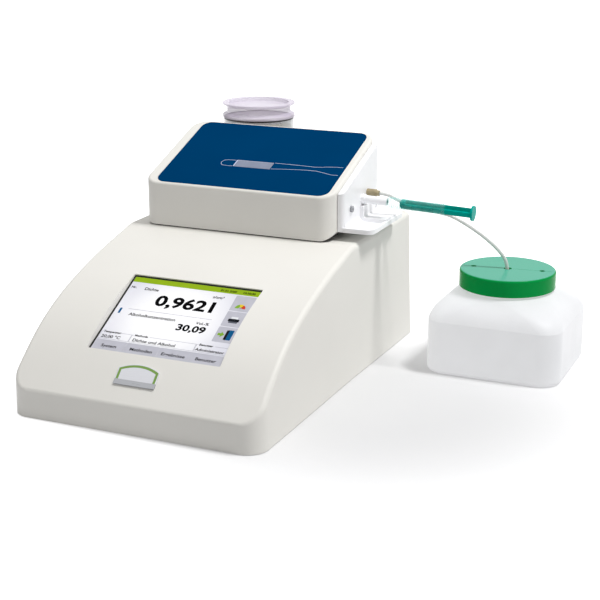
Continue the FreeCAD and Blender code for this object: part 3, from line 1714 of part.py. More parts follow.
def bottle_form(inset):
    """The bottle's full form up to its neck's top, drawn in by inset."""
    shape_levels = []
    for height_share, round_share in shoulder_shares:
        z = bottle_shoulder_z + (bottle_neck_z - bottle_shoulder_z) * height_share
        neck = bottle_neck_d + 2 * neck_bead
        dx = bottle_width + (neck - bottle_width) * round_share - 2 * inset
        dy = bottle_length + (neck - bottle_length) * round_share - 2 * inset
        full_r = bottle_neck_d / 2
        radius = bottle_corner_r + (full_r - bottle_corner_r) * round_share - inset
        x = bottle_x + bottle_body_right * (1 - round_share)
        y = bottle_y - bottle_body_front * (1 - round_share)
        shape_levels.append(rectangle_outline(x, y, dx, dy, radius, z))
    shoulder = Part.makeLoft(shape_levels, True, False)
    dx = bottle_width - 2 * inset
    dy = bottle_length - 2 * inset
    foot_x = bottle_x + bottle_body_right
    foot_y = bottle_y - bottle_body_front
    foot = rectangle_outline(foot_x, foot_y, dx, dy, bottle_corner_r - inset, inset)
    walls = slab(foot, bottle_shoulder_z - inset)
    bottom = [edge for edge in walls.Edges if edge.BoundBox.ZMax < inset + seat_gap]
    walls = walls.makeFillet(bottle_foot_round - inset, bottom)
    neck_base = V(bottle_x, bottle_y, bottle_neck_z - neck_bead)
    neck = rod(bottle_neck_d - 2 * inset, bottle_top_z() - bottle_neck_z + neck_bead, neck_base)
    return joined([walls, shoulder, neck])


def bottle_top_z():
    """Upper rim of the bottle's neck."""
    return lid_top_z - lid_wall - liner_thick - seat_gap


def make_waste_bottle():
    """Blow-moulded bottle with a broad round neck."""
    bottle = bottle_form(0).cut(bottle_form(bottle_wall))
    mouth_base = V(bottle_x, bottle_y, bottle_neck_z)
    return bottle.cut(rod(bottle_neck_d - 2 * bottle_wall, lid_top_z, mouth_base))


def lid_axis(z):
    """Point on the lid's axis."""
    return V(bottle_x, bottle_y, z)


def make_bottle_lid():
    """Broad screw lid with a hole for the tube and two vents."""
    lid = rod(lid_d, lid_height, lid_axis(lid_top_z - lid_height))
    rim = [edge for edge in lid.Edges if edge.BoundBox.ZMin > lid_top_z - seat_gap]
    lid = lid.makeFillet(lid_edge_round, rim)
    lid = lid.cut(rod(lid_d - 2 * lid_wall, lid_height, lid_axis(lid_top_z - lid_wall - lid_height)))
    lid = lid.cut(rod(lid_hole_d, lid_height, lid_axis(lid_top_z - lid_height / 2)))
    turn = math.radians(lid_vent_turn_deg)
    for side in (-1, 1):
        offset = V(math.cos(turn), math.sin(turn), 0) * (side * lid_vent_spread)
        lid = lid.cut(rod(lid_vent_d, lid_height, lid_axis(lid_top_z - lid_height / 2) + offset))
    return lid


def make_lid_liner():
    """Soft disc inside the lid."""
    base = lid_axis(lid_top_z - lid_wall - liner_thick)
    return pipe(lid_d - 2 * lid_wall - 2 * liner_rim_gap, lid_hole_d, liner_thick, base)


def tube_route():
    """Points of the waste tube's route."""
    return [V(*point) for point in tube_points]


def make_waste_tube():
    """Thin waste tube from the nut down into the bottle."""
    points = tube_route()
    direction = (points[1] - points[0]).normalize()
    return swept_tube(route(points), points[0], direction, tube_d, tube_bore)


makers = {
    "housing": make_housing,
    "base_plate": make_base_plate,
    "feet": make_feet,
    "base_screws": make_base_screws,
    "rear_panel": make_rear_panel,
    "rear_panel_screws": make_rear_panel_screws,
    "display_gasket": make_display_gasket,
    "touch_panel": make_touch_panel,
    "lcd_module": make_lcd_module,
    "display_bracket": make_display_bracket,
    "display_screws": make_display_screws,
    "display_cable": make_display_cable,
    "name_plate": make_name_plate,
    "cover_seat": make_cover_seat,
    "cell_cover": make_cell_cover,
    "cover_panel": make_cover_panel,
    "cell_window": make_cell_window,
    "port_adapter": make_port_adapter,
    "adapter_screws": make_adapter_screws,
    "luer_port": make_luer_port,
    "waste_fitting": make_waste_fitting,
    "cell_block": make_cell_block,
    "oscillator_tube": make_oscillator_tube,
    "counter_mass": make_counter_mass,
    "piezo_discs": make_piezo_discs,
    "temperature_sensor": make_temperature_sensor,
    "peltier_elements": make_peltier_elements,
    "heat_sink": make_heat_sink,
    "cell_insulation": make_cell_insulation,
    "lamp_board": make_lamp_board,
    "fan_frame": make_fan_frame,
    "fan_rotor": make_fan_rotor,
    "main_board": make_main_board,
    "board_standoffs": make_board_standoffs,
    "board_components": make_board_components,
    "power_supply": make_power_supply,
    "air_pump": make_air_pump,
    "pump_mounts": make_pump_mounts,
    "suction_hose": make_suction_hose,
    "pressure_hose": make_pressure_hose,
    "air_nipples": make_air_nipples,
    "power_inlet": make_power_inlet,
    "power_switch": make_power_switch,
    "fuse_drawer": make_fuse_drawer,
    "usb_ports": make_usb_ports,
    "serial_port": make_serial_port,
    "network_port": make_network_port,
    "cartridge_holder": make_cartridge_holder,
    "cartridge_body": make_cartridge_body,
    "desiccant": make_desiccant,
    "cartridge_seal": make_cartridge_seal,
    "cartridge_cap": make_cartridge_cap,
    "syringe_barrel": make_syringe_barrel,
    "syringe_plunger": make_syringe_plunger,
    "waste_bottle": make_waste_bottle,
    "bottle_lid": make_bottle_lid,
    "lid_liner": make_lid_liner,
    "waste_tube": make_waste_tube,
}


def place_pieces(pieces):
    """Move every piece so that the footprint's middle, the waste tube left out, is the origin."""
    boxes = [shape.optimalBoundingBox() for name, shape in pieces.items() if name != "waste_tube"]
    middle_x = (min(found.XMin for found in boxes) + max(found.XMax for found in boxes)) / 2
    middle_y = (min(found.YMin for found in boxes) + max(found.YMax for found in boxes)) / 2
    for shape in pieces.values():
        shape.translate(V(-middle_x, -middle_y, 0))
    print("The layout's origin lies at", -middle_x, -middle_y)


def write_pieces():
    """Make all pieces, place them and write one file for each."""
    pieces = {name: maker() for name, maker in makers.items()}
    place_pieces(pieces)
    os.makedirs("parts", exist_ok=True)
    for name, shape in pieces.items():
        shape.exportStep("parts/" + name + ".step")


if __name__ == "__main__":
    write_pieces()
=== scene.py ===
"""Surface finishes and fine pieces for a benchtop density meter with its syringe and waste bottle."""
import math

import bmesh
import bpy
from bpy.props import FloatProperty, FloatVectorProperty, PointerProperty, StringProperty
from bpy.types import Operator, Panel, PropertyGroup
from mathutils import Matrix, Vector


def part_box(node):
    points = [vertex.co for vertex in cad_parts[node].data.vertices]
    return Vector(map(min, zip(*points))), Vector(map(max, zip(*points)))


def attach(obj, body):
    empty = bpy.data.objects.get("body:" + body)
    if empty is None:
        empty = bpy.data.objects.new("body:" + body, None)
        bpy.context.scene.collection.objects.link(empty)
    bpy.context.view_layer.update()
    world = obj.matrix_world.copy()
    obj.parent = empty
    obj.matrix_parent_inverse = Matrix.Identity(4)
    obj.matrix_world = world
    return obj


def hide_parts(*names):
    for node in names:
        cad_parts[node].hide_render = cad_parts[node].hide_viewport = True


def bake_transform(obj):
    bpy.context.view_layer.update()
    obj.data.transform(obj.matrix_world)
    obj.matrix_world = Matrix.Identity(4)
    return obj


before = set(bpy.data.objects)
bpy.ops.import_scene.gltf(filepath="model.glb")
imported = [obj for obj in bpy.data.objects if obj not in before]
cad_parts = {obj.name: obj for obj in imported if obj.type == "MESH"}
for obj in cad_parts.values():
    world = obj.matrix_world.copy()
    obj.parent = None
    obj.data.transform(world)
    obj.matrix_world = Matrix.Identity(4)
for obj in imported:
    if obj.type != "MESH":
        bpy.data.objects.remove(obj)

bl_info = {
    "name": "Density Meter Finish",
    "version": (1, 0, 0),
    "blender": (4, 5, 0),
    "location": "3D View > Sidebar > Density Meter",
    "description": "Finishes, display picture, tube and stage for the density meter",
    "category": "Object",
}

MM = 0.001

housing_low, housing_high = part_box("housing")
HOUSING_MIDDLE = (housing_low.x + housing_high.x) / 2
HOUSING_FRONT = housing_low.y


def place(x, y, z):
    """Point in metres from millimetres right, back and up of the foot of the housing's front."""
    return Vector((HOUSING_MIDDLE + x * MM, HOUSING_FRONT + y * MM, z * MM))


def swatch(red, green, blue):
    """Scene colour from a paint swatch's values of 0 to 255."""
    shares = [value / 255 for value in (red, green, blue)]
    return tuple(s / 12.92 if s <= 0.04045 else ((s + 0.055) / 1.055) ** 2.4 for s in shares)


def tilted_frame(origin, angle_deg):
    """Matrix from flat millimetres to a plane that leans back about its front edge."""
    turn = Matrix.Rotation(math.radians(angle_deg), 4, "X")
    return Matrix.Translation(origin) @ turn @ Matrix.Scale(MM, 4)


def axis_frame(origin, direction, first):
    """Matrix from millimetres to an axis: z runs along direction and x points towards first."""
    along = direction.normalized()
    across = (first - along * first.dot(along)).normalized()
    side = along.cross(across)
    turn = Matrix((across, side, along)).transposed().to_4x4()
    return Matrix.Translation(origin) @ turn @ Matrix.Scale(MM, 4)


SCREEN_FRAME = tilted_frame(place(-54.0, 34.4, 52.6), 27.55)
COVER_FRAME = tilted_frame(place(0.0, 194.0, 154.8), 20.3)
SYRINGE_AXIS = Vector((math.cos(math.radians(2.1)), 0.0, -math.sin(math.radians(2.1))))
SYRINGE_FRAME = axis_frame(place(118.5, 250.0, 143.08), SYRINGE_AXIS, Vector((0.0, -1.0, 0.0)))


# Settings

def colour(name, description, red, green, blue):
    """Colour property with a swatch as its default."""
    return FloatVectorProperty(
        name=name, description=description, subtype="COLOR", size=3, min=0.0, max=1.0,
        default=swatch(red, green, blue))


def length(name, description, default):
    """Length property in metres, from a default in millimetres."""
    return FloatProperty(
        name=name, description=description, default=default * MM, min=0.0, unit="LENGTH", precision=5)


def lamp_power(name, description, default):
    """Power property in watts."""
    return FloatProperty(name=name, description=description, default=default, min=0.0, unit="POWER")


class StageSettings(PropertyGroup):
    """Floor, lights and camera."""
    floor_colour: colour("Floor", "Colour of the floor", 214, 214, 215)
    floor_glow: FloatProperty(
        name="Floor Glow", description="Light that the floor adds towards the camera beside the object",
        default=0.09, min=0.0, max=1.0, subtype="FACTOR")
    fade_start: length("Fade Start", "Distance at which the floor starts to fade to white", 60.0)
    fade_end: length("Fade End", "Distance at which the floor is all white", 420.0)
    sky_strength: FloatProperty(
        name="Sky", description="Strength of the even light from all round", default=0.33, min=0.0)
    top_power: lamp_power("Top Lamp", "Power of the broad lamp overhead", 3.0)
    key_power: lamp_power("Key Lamp", "Power of the small lamp high above the right side", 42.0)
    key_size: length("Key Size", "Side of the small lamp", 483.0)
    focal_length: FloatProperty(
        name="Focal Length", description="Camera focal length", default=84.28, unit="CAMERA")
    camera_place: FloatVectorProperty(
        name="Camera", description="Place of the camera", default=place(524.4, -869.0, 413.0), unit="LENGTH")
    camera_target: FloatVectorProperty(
        name="Target", description="Point in the middle of the picture",
        default=place(78.19, 150.0, 77.54), unit="LENGTH")


class HousingSettings(PropertyGroup):
    """Housing, base plate, feet and screws."""
    body_colour: colour("Body", "Colour of the moulded housing", 240, 238, 232)
    plate_colour: colour("Plate", "Colour of the bare sheet metal", 176, 178, 180)
    rubber_colour: colour("Rubber", "Colour of the feet", 34, 34, 35)
    grain_depth: length("Grain", "Depth of the fine grain in the plastic", 0.02)


class DisplaySettings(PropertyGroup):
    """Picture on the display."""
    ground_colour: colour("Ground", "Colour in the middle of the picture", 250, 250, 252)
    edge_colour: colour("Ground Edge", "Colour at the rim of the picture", 214, 214, 224)
    band_colour: colour("Band", "Colour of the band along the top", 148, 180, 34)
    key_colour: colour("Keys", "Colour of the soft keys", 194, 194, 204)
    line_colour: colour("Lines", "Colour of the thin lines", 168, 168, 178)
    ink_colour: colour("Ink", "Colour of figures and words", 10, 10, 12)
    border_colour: colour("Border", "Colour of the border round the picture", 12, 12, 14)
    main_value: StringProperty(name="Main Value", description="Large reading", default="0,9621")
    second_value: StringProperty(name="Second Value", description="Smaller reading", default="30,09")
    temperature: StringProperty(name="Temperature", description="Cell temperature", default="20,00 °C")


class PlateSettings(PropertyGroup):
    """Blank plate under the display."""
    face_colour: colour("Face", "Colour of the plate's face", 236, 237, 242)
    edge_colour: colour("Edge", "Colour of the line inside the plate's edge", 118, 158, 66)
    foot_colour: colour("Foot", "Colour of the strip along the plate's foot", 178, 180, 184)
    edge_width: length("Edge Width", "Width of the line", 2.1)
    foot_height: length("Foot Height", "Height of the strip", 4.4)


class CoverSettings(PropertyGroup):
    """Cover of the measuring cell with its top panel."""
    cover_colour: colour("Cover", "Colour of the cover", 238, 236, 230)
    panel_colour: colour("Panel", "Colour of the top panel", 0, 60, 106)
    window_colour: colour("Window", "Colour of the clear window over the lit cell", 136, 144, 166)
    line_colour: colour("Lines", "Colour of the tube outline", 205, 212, 236)
    seam_colour: colour("Seam", "Colour of the seam under the cover", 22, 21, 20)
    line_width: length("Line Width", "Width of the tube outline", 0.42)


class PortSettings(PropertyGroup):
    """Sample ports, syringe and waste tube."""
    adapter_colour: colour("Adapter", "Colour of the white side piece", 253, 253, 255)
    nut_colour: colour("Nut", "Colour of the waste line's nut", 180, 166, 132)
    plunger_colour: colour("Plunger", "Colour of the syringe's plunger", 0, 180, 166)
    barrel_colour: colour("Barrel", "Colour of the syringe's barrel", 168, 238, 232)
    tube_colour: colour("Tube", "Colour of the waste tube", 240, 241, 238)
    tube_diameter: length("Tube Diameter", "Outer diameter of the waste tube", 3.2)


class BottleSettings(PropertyGroup):
    """Waste bottle and its lid."""
    bottle_colour: colour("Bottle", "Colour of the bottle", 194, 195, 198)
    lid_colour: colour("Lid", "Colour of the lid", 0, 152, 70)
    lid_top_sheen_colour: colour("Lid Top", "Colour of the lid's painted top sheen", 88, 178, 152)
    liner_colour: colour("Liner", "Colour of the disc in the lid", 228, 228, 222)


class CartridgeSettings(PropertyGroup):
    """Drying cartridge behind the cover."""
    cap_colour: colour("Cap", "Colour of the cap", 226, 217, 234)
    jar_colour: colour("Jar", "Colour of the jar", 224, 228, 230)
    filling_colour: colour("Filling", "Colour of the drying granules", 206, 192, 164)
    seal_colour: colour("Seal", "Colour of the seal", 26, 25, 26)


# Materials

COLOUR, NUMBER, VECTOR = "NodeSocketColor", "NodeSocketFloat", "NodeSocketVector"
WHITE = (1.0, 1.0, 1.0, 1.0)
LONG_STREAKS = (60.0, 1500.0, 1500.0)
DEEP_STREAKS = (1500.0, 60.0, 1500.0)
FINE_STREAKS = (400.0, 400.0, 400.0)


def add_node(tree, kind, inputs=None, **settings):
    """New node with its settings; an input takes a value or another node's socket."""
    node = tree.nodes.new(kind)
    for key, value in settings.items():
        setattr(node, key, value)
    for key, value in (inputs or {}).items():
        if isinstance(value, bpy.types.NodeSocket):
            tree.links.new(value, node.inputs[key])
        else:
            node.inputs[key].default_value = value
    return node


def mixed_colour(tree, factor, first, second, **settings):
    """Colour socket between two colours."""
    inputs = {0: factor, 6: first, 7: second}
    return add_node(tree, "ShaderNodeMix", inputs, data_type="RGBA", **settings).outputs[2]


def calculated(tree, operation, *values):
    """Number socket of one operation on numbers."""
    return add_node(tree, "ShaderNodeMath", dict(enumerate(values)), operation=operation).outputs[0]


def measured(tree, operation, *values):
    """Number socket of one operation on points, such as a distance."""
    inputs = dict(enumerate(values))
    return add_node(tree, "ShaderNodeVectorMath", inputs, operation=operation).outputs["Value"]


def moved(tree, operation, *values):
    """Point socket of one operation on points."""
    inputs = dict(enumerate(values))
    return add_node(tree, "ShaderNodeVectorMath", inputs, operation=operation).outputs["Vector"]


def ranged(tree, value, low, high, to_low=0.0, to_high=1.0, **settings):
    """Number socket that maps low and high to two other numbers."""
    inputs = {"Value": value, "From Min": low, "From Max": high, "To Min": to_low, "To Max": to_high}
    return add_node(tree, "ShaderNodeMapRange", inputs, **settings).outputs["Result"]


def noise(tree, points, scale, detail):
    """Number socket of a soft random pattern."""
    inputs = {"Vector": points, "Scale": scale, "Detail": detail}
    return add_node(tree, "ShaderNodeTexNoise", inputs).outputs["Fac"]


def relief(tree, height, depth, **settings):
    """Normal socket of a fine relief."""
    inputs = {"Height": height, "Distance": depth, "Strength": 1.0}
    return add_node(tree, "ShaderNodeBump", inputs, **settings).outputs["Normal"]


def own_points(tree):
    """Socket with the place of each point on the object."""
    return add_node(tree, "ShaderNodeTexCoord").outputs["Object"]


def surface_group(name, inputs, fill):
    """Group that gives a colour, a roughness and a normal; fill makes its nodes the first time."""
    group = bpy.data.node_groups.get(name)
    if group:
        return group
    group = bpy.data.node_groups.new(name, "ShaderNodeTree")
    for key, (kind, default) in inputs.items():
        group.interface.new_socket(name=key, in_out="INPUT", socket_type=kind).default_value = default
    given = group.nodes.new("NodeGroupInput").outputs
    sockets = fill(group, given, own_points(group))
    results = (("Colour", COLOUR), ("Roughness", NUMBER), ("Normal", VECTOR))
    for key, kind in results:
        group.interface.new_socket(name=key, in_out="OUTPUT", socket_type=kind)
    end = group.nodes.new("NodeGroupOutput")
    for (key, kind), socket in zip(results, sockets):
        group.links.new(socket, end.inputs[key])
    return group


def fill_moulded_grain(group, given, points):
    """Nodes of the moulded grain."""
    mottle = noise(group, points, given["Mottle Scale"], 3.0)
    spread = ranged(group, mottle, 0.35, 0.65)
    return (mixed_colour(group, spread, given["Colour"], given["Tint"]),
            ranged(group, mottle, 0.3, 0.7, given["Low Roughness"], given["High Roughness"]),
            relief(group, noise(group, points, given["Grain Scale"], 2.0), given["Grain Depth"]))


def moulded_grain():
    """Group for moulded plastic: slightly uneven colour and gloss over a fine grain."""
    return surface_group("moulded grain", {
        "Colour": (COLOUR, (0.8, 0.8, 0.8, 1.0)), "Tint": (COLOUR, (0.7, 0.7, 0.7, 1.0)),
        "Mottle Scale": (NUMBER, 18.0), "Low Roughness": (NUMBER, 0.4),
        "High Roughness": (NUMBER, 0.5), "Grain Scale": (NUMBER, 1500.0),
        "Grain Depth": (NUMBER, 0.00002)}, fill_moulded_grain)


def fill_brushed_streaks(group, given, points):
    """Nodes of the streaks."""
    streaks = noise(group, moved(group, "MULTIPLY", points, given["Stretch"]), 1.0, 4.0)
    return (mixed_colour(group, streaks, given["Colour"], given["Tint"]),
            ranged(group, streaks, 0.3, 0.7, given["Low Roughness"], given["High Roughness"]),
            relief(group, streaks, given["Streak Depth"]))


def brushed_streaks():
    """Group for rolled or turned metal: long streaks in colour, gloss and height."""
    return surface_group("brushed streaks", {
        "Colour": (COLOUR, (0.6, 0.6, 0.6, 1.0)), "Tint": (COLOUR, (0.5, 0.5, 0.5, 1.0)),
        "Stretch": (VECTOR, LONG_STREAKS), "Low Roughness": (NUMBER, 0.25),
        "High Roughness": (NUMBER, 0.4), "Streak Depth": (NUMBER, 0.00001)},
        fill_brushed_streaks)


def fill_packed_grains(group, given, points):
    """Nodes of the packed grains."""
    cells = add_node(group, "ShaderNodeTexVoronoi", {"Vector": points, "Scale": given["Grain Scale"]}).outputs
    shade = add_node(group, "ShaderNodeSeparateColor", {"Color": cells["Color"]}).outputs
    paler = mixed_colour(group, shade["Red"], given["Colour"], given["Pale Colour"])
    # Each grain darkens towards the gaps: painted shade between the grains.
    return (mixed_colour(group, ranged(group, cells["Distance"], 0.35, 0.75), paler, given["Gap Shade"]),
            ranged(group, shade["Green"], 0.0, 1.0, 0.45, 0.8),
            relief(group, cells["Distance"], given["Grain Depth"], invert=True))


def packed_grains():
    """Group for loose grains and cells: a tone for each grain, round bumps, and painted shade darkening each
    grain towards its rim and the gaps.
    """
    return surface_group("packed grains", {
        "Colour": (COLOUR, (0.6, 0.5, 0.4, 1.0)),
        "Pale Colour": (COLOUR, (0.8, 0.75, 0.7, 1.0)),
        "Gap Shade": (COLOUR, (0.3, 0.25, 0.2, 1.0)),
        "Grain Scale": (NUMBER, 320.0), "Grain Depth": (NUMBER, 0.0008)},
        fill_packed_grains)


def shader(name, **settings):
    """New material: the material, its node tree and its main shader with these socket values."""
    material = bpy.data.materials.new(name)
    material.use_nodes = True
    main = material.node_tree.nodes["Principled BSDF"]
    for key, value in settings.items():
        main.inputs[key.replace("_", " ")].default_value = value
    return material, material.node_tree, main


def opaque(rgb):
    """Colour with full alpha."""
    return (rgb[0], rgb[1], rgb[2], 1.0)


def scaled(rgb, factor):
    """Colour made lighter or darker, with full alpha."""
    return tuple(min(1.0, value * factor) for value in rgb[:3]) + (1.0,)


def join_group(tree, main, group, inputs, with_normal=True):
    """Puts a group into the material and links what it gives to the main shader."""
    node = add_node(tree, "ShaderNodeGroup", node_tree=group)
    for key, value in inputs.items():
        node.inputs[key].default_value = value
    tree.links.new(node.outputs["Colour"], main.inputs["Base Color"])
    tree.links.new(node.outputs["Roughness"], main.inputs["Roughness"])
    if with_normal:
        tree.links.new(node.outputs["Normal"], main.inputs["Normal"])
    return node


def plastic(name, rgb, roughness, tint=0.94, mottle=18.0, grain=1500.0, depth=0.02, **settings):
    """Moulded plastic or rubber."""
    material, tree, main = shader(name, **settings)
    join_group(tree, main, moulded_grain(), {
        "Colour": opaque(rgb), "Tint": scaled(rgb, tint), "Mottle Scale": mottle,
        "Low Roughness": roughness - 0.04, "High Roughness": roughness + 0.06,
        "Grain Scale": grain, "Grain Depth": depth * MM})
    return material


def metal(name, rgb, roughness, stretch=LONG_STREAKS):
    """Bare metal with streaks."""
    material, tree, main = shader(name, Metallic=1.0)
    join_group(tree, main, brushed_streaks(), {
        "Colour": opaque(rgb), "Tint": scaled(rgb, 0.82), "Stretch": stretch,
        "Low Roughness": roughness - 0.06, "High Roughness": roughness + 0.1, "Streak Depth": 0.01 * MM})
    return material


def clear_plastic(name, rgb, facing_alpha, rim_alpha, roughness, **settings):
    """See-through plastic, denser where it is seen edge on."""
    material, tree, main = shader(name, IOR=1.5, **settings)
    join_group(tree, main, moulded_grain(), {
        "Colour": opaque(rgb), "Tint": scaled(rgb, 0.96), "Mottle Scale": 40.0,
        "Low Roughness": roughness, "High Roughness": roughness + 0.05,
        "Grain Scale": 300.0, "Grain Depth": 0.004 * MM})
    facing = add_node(tree, "ShaderNodeLayerWeight", {"Blend": 0.35}).outputs["Facing"]
    tree.links.new(ranged(tree, facing, 0.0, 0.9, facing_alpha, rim_alpha), main.inputs["Alpha"])
    return material


def dress(material, *names):
    """Gives one material to each of these nodes of the frame."""
    for name in names:
        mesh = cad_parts[name].data
        mesh.materials.clear()
        mesh.materials.append(material)


# Mesh making

def add_object(name, data):
    """New object in the scene."""
    thing = bpy.data.objects.new(name, data)
    bpy.context.scene.collection.objects.link(thing)
    return thing


def mesh_from_shape(name, shape, *materials):
    """Mesh from a bmesh, which it frees."""
    mesh = bpy.data.meshes.new(name)
    shape.to_mesh(mesh)
    shape.free()
    for material in materials:
        mesh.materials.append(material)
    return mesh


def mesh_from_curve(curve):
    """Mesh from a curve or lettering, which it removes."""
    holder = add_object(curve.name, curve)
    bpy.context.view_layer.update()
    mesh = bpy.data.meshes.new_from_object(holder)
    bpy.data.objects.remove(holder)
    bpy.data.curves.remove(curve)
    return mesh


def new_piece(name, shape, body, *materials):
    """Object from a bmesh, riding on a body of the frame."""
    bmesh.ops.recalc_face_normals(shape, faces=shape.faces)
    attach(add_object(name, mesh_from_shape(name, shape, *materials)), body)


def add_prism(shape, outline, layer, to_frame, slot=0):
    """Straight-sided solid over a flat outline, from the layer's low to its high."""
    below, above = ([shape.verts.new(to_frame @ Vector((x, y, z))) for x, y in outline] for z in layer)
    faces = [shape.faces.new(list(reversed(below))), shape.faces.new(above)]
    for index in range(len(outline)):
        after = (index + 1) % len(outline)
        faces.append(shape.faces.new((below[index], below[after], above[after], above[index])))
    for face in faces:
        face.material_index = slot


def add_ribbon(shape, points, width, layer, to_frame):
    """Raised line of even width along flat points."""
    path = [Vector(point) for point in points]
    runs = [(after - before).normalized() for before, after in zip(path, path[1:])]
    left, right = [], []
    for point, run_in, run_out in zip(path, runs[:1] + runs, runs + runs[-1:]):
        middle = (run_in + run_out).normalized()
        normal = Vector((-middle.y, middle.x))
        reach = width / 2 / max(0.3, normal.dot(Vector((-run_in.y, run_in.x))))
        left.append(point + normal * reach)
        right.append(point - normal * reach)
    for index in range(len(runs)):
        after = index + 1
        add_prism(shape, [left[index], right[index], right[after], left[after]], layer, to_frame)


def rounded_outline(x0, y0, x1, y1, radius, steps=5):
    """Outline of a rectangle with round corners."""
    outline = []
    corners = ((x1 - radius, y0 + radius, -90), (x1 - radius, y1 - radius, 0),
               (x0 + radius, y1 - radius, 90), (x0 + radius, y0 + radius, 180))
    for x, y, start in corners:
        for step in range(steps + 1):
            angle = math.radians(start + 90 * step / steps)
            outline.append((x + radius * math.cos(angle), y + radius * math.sin(angle)))
    return outline


def arc_points(x, y, radius, start_deg, end_deg, steps=12):
    """Points along an arc."""
    angles = [math.radians(start_deg + (end_deg - start_deg) * step / steps) for step in range(steps + 1)]
    return [(x + radius * math.cos(a), y + radius * math.sin(a)) for a in angles]


def add_words(shape, words, size, x, y, align, weight, stretch, lift):
    """Flat lettering on the display, its baseline starting, centred or ending at x, y."""
    curve = bpy.data.curves.new("words", "FONT")
    curve.body = words
    curve.size = size
    curve.align_x = align
    curve.offset = weight
    curve.resolution_u = 3
    mesh = mesh_from_curve(curve)
    widened = Matrix.Diagonal((stretch, 1.0, 1.0, 1.0))
    mesh.transform(SCREEN_FRAME @ Matrix.Translation((x, y, lift)) @ widened)
    shape.from_mesh(mesh)
    bpy.data.meshes.remove(mesh)


# Stage

SENSOR_WIDTH = 36.0
TOP_LAMP_SIZE = (1.3, 1.1)
TOP_LAMP_PLACE = place(-60.0, 330.0, 1250.0)
TOP_LAMP_TARGET = place(60.0, 190.0, 80.0)
KEY_LAMP_PLACE = place(1195.0, 330.0, 2347.0)
KEY_LAMP_TARGET = place(110.0, 240.0, 110.0)
FLOOR_SHADE_AND_FADE_MIDDLE = place(150.0, 150.0, 0.0)
FLOOR_HALF = 6.0


def make_camera(settings):
    """Camera at the viewing angle of a product picture, from the right and above."""
    data = bpy.data.cameras.new("camera")
    data.lens = settings.focal_length
    data.sensor_width = SENSOR_WIDTH
    data.clip_start = 0.01
    data.clip_end = 50.0
    camera = add_object("camera", data)
    camera.location = settings.camera_place
    sight = Vector(settings.camera_target) - Vector(settings.camera_place)
    camera.rotation_euler = sight.to_track_quat("-Z", "Y").to_euler()
    bpy.context.scene.camera = camera


def make_lamp(name, power, size, location, target):
    """Soft rectangular lamp aimed at a point."""
    data = bpy.data.lights.new(name, "AREA")
    data.shape = "RECTANGLE"
    data.size, data.size_y = size
    data.energy = power
    lamp = add_object(name, data)
    lamp.location = location
    lamp.rotation_euler = (target - location).to_track_quat("-Z", "Y").to_euler()


def seen_directly(tree):
    """Socket that is one for rays that show a thing itself, in glass or in a mirror."""
    rays = add_node(tree, "ShaderNodeLightPath").outputs
    near = calculated(tree, "MAXIMUM", rays["Is Camera Ray"], rays["Is Glossy Ray"])
    return calculated(tree, "MAXIMUM", near, rays["Is Transmission Ray"])


def make_sky(settings):
    """White backdrop for the camera, and even light of a plain level for the object."""
    world = bpy.data.worlds.new("sky")
    world.use_nodes = True
    tree = world.node_tree
    tree.nodes.clear()
    light, white = (
        add_node(tree, "ShaderNodeBackground", {"Color": WHITE, "Strength": strength}).outputs[0]
        for strength in (settings.sky_strength, 1.0))
    choice = add_node(tree, "ShaderNodeMixShader", {0: seen_directly(tree), 1: light, 2: white})
    add_node(tree, "ShaderNodeOutputWorld", {"Surface": choice.outputs[0]})
    bpy.context.scene.world = world


def floor_material(settings):
    """Matt white floor that keeps soft shadows; towards the camera it glows more the farther it lies from a
    point right of the housing, so it is white far off and carries a painted shade round that point.
    """
    material, tree, main = shader("floor", Roughness=0.9, Specular_IOR_Level=0.2, Emission_Color=WHITE)
    join_group(tree, main, moulded_grain(), {
        "Colour": opaque(settings.floor_colour), "Tint": scaled(settings.floor_colour, 0.995),
        "Mottle Scale": 3.0, "Low Roughness": 0.85, "High Roughness": 0.95, "Grain Scale": 400.0,
        "Grain Depth": 0.0}, with_normal=False)
    # Glow grows with distance from the middle point: white backdrop far off, painted floor shade near the
    # object.
    away = measured(tree, "DISTANCE", own_points(tree), FLOOR_SHADE_AND_FADE_MIDDLE)
    fade = ranged(tree, away, settings.fade_start, settings.fade_end, settings.floor_glow,
                  interpolation_type="SMOOTHSTEP")
    glow = calculated(tree, "MULTIPLY", seen_directly(tree), fade)
    tree.links.new(glow, main.inputs["Emission Strength"])
    return material


def make_floor(settings):
    """Wide floor under the object's feet."""
    shape = bmesh.new()
    bmesh.ops.create_grid(shape, x_segments=8, y_segments=8, size=FLOOR_HALF)
    add_object("floor", mesh_from_shape("floor", shape, floor_material(settings)))


class METER_OT_stage(Operator):
    """Camera, soft lamps, white backdrop and floor"""
    bl_idname = "meter.stage"
    bl_label = "Stage"

    def execute(self, context):
        settings = context.scene.meter_stage
        make_camera(settings)
        make_sky(settings)
        make_floor(settings)
        make_lamp("top lamp", settings.top_power, TOP_LAMP_SIZE, TOP_LAMP_PLACE, TOP_LAMP_TARGET)
        key_size = (settings.key_size, settings.key_size)
        make_lamp("key lamp", settings.key_power, key_size, KEY_LAMP_PLACE, KEY_LAMP_TARGET)
        context.scene.view_settings.view_transform = "Standard"
        return {"FINISHED"}


class METER_OT_housing(Operator):
    """Housing, base plate, feet and their screws"""
    bl_idname = "meter.housing"
    bl_label = "Housing"

    def execute(self, context):
        settings = context.scene.meter_housing
        depth = settings.grain_depth / MM
        dress(plastic("housing plastic", settings.body_colour, 0.5, tint=0.975, mottle=9.0, depth=depth),
              "housing")
        dress(metal("base sheet", settings.plate_colour, 0.38), "base_plate")
        dress(plastic("foot rubber", settings.rubber_colour, 0.75, tint=0.7, mottle=60.0, depth=0.05), "feet")
        dress(metal("screw steel", swatch(196, 197, 199), 0.26, FINE_STREAKS),
              "base_screws", "rear_panel_screws")
        return {"FINISHED"}


# Display

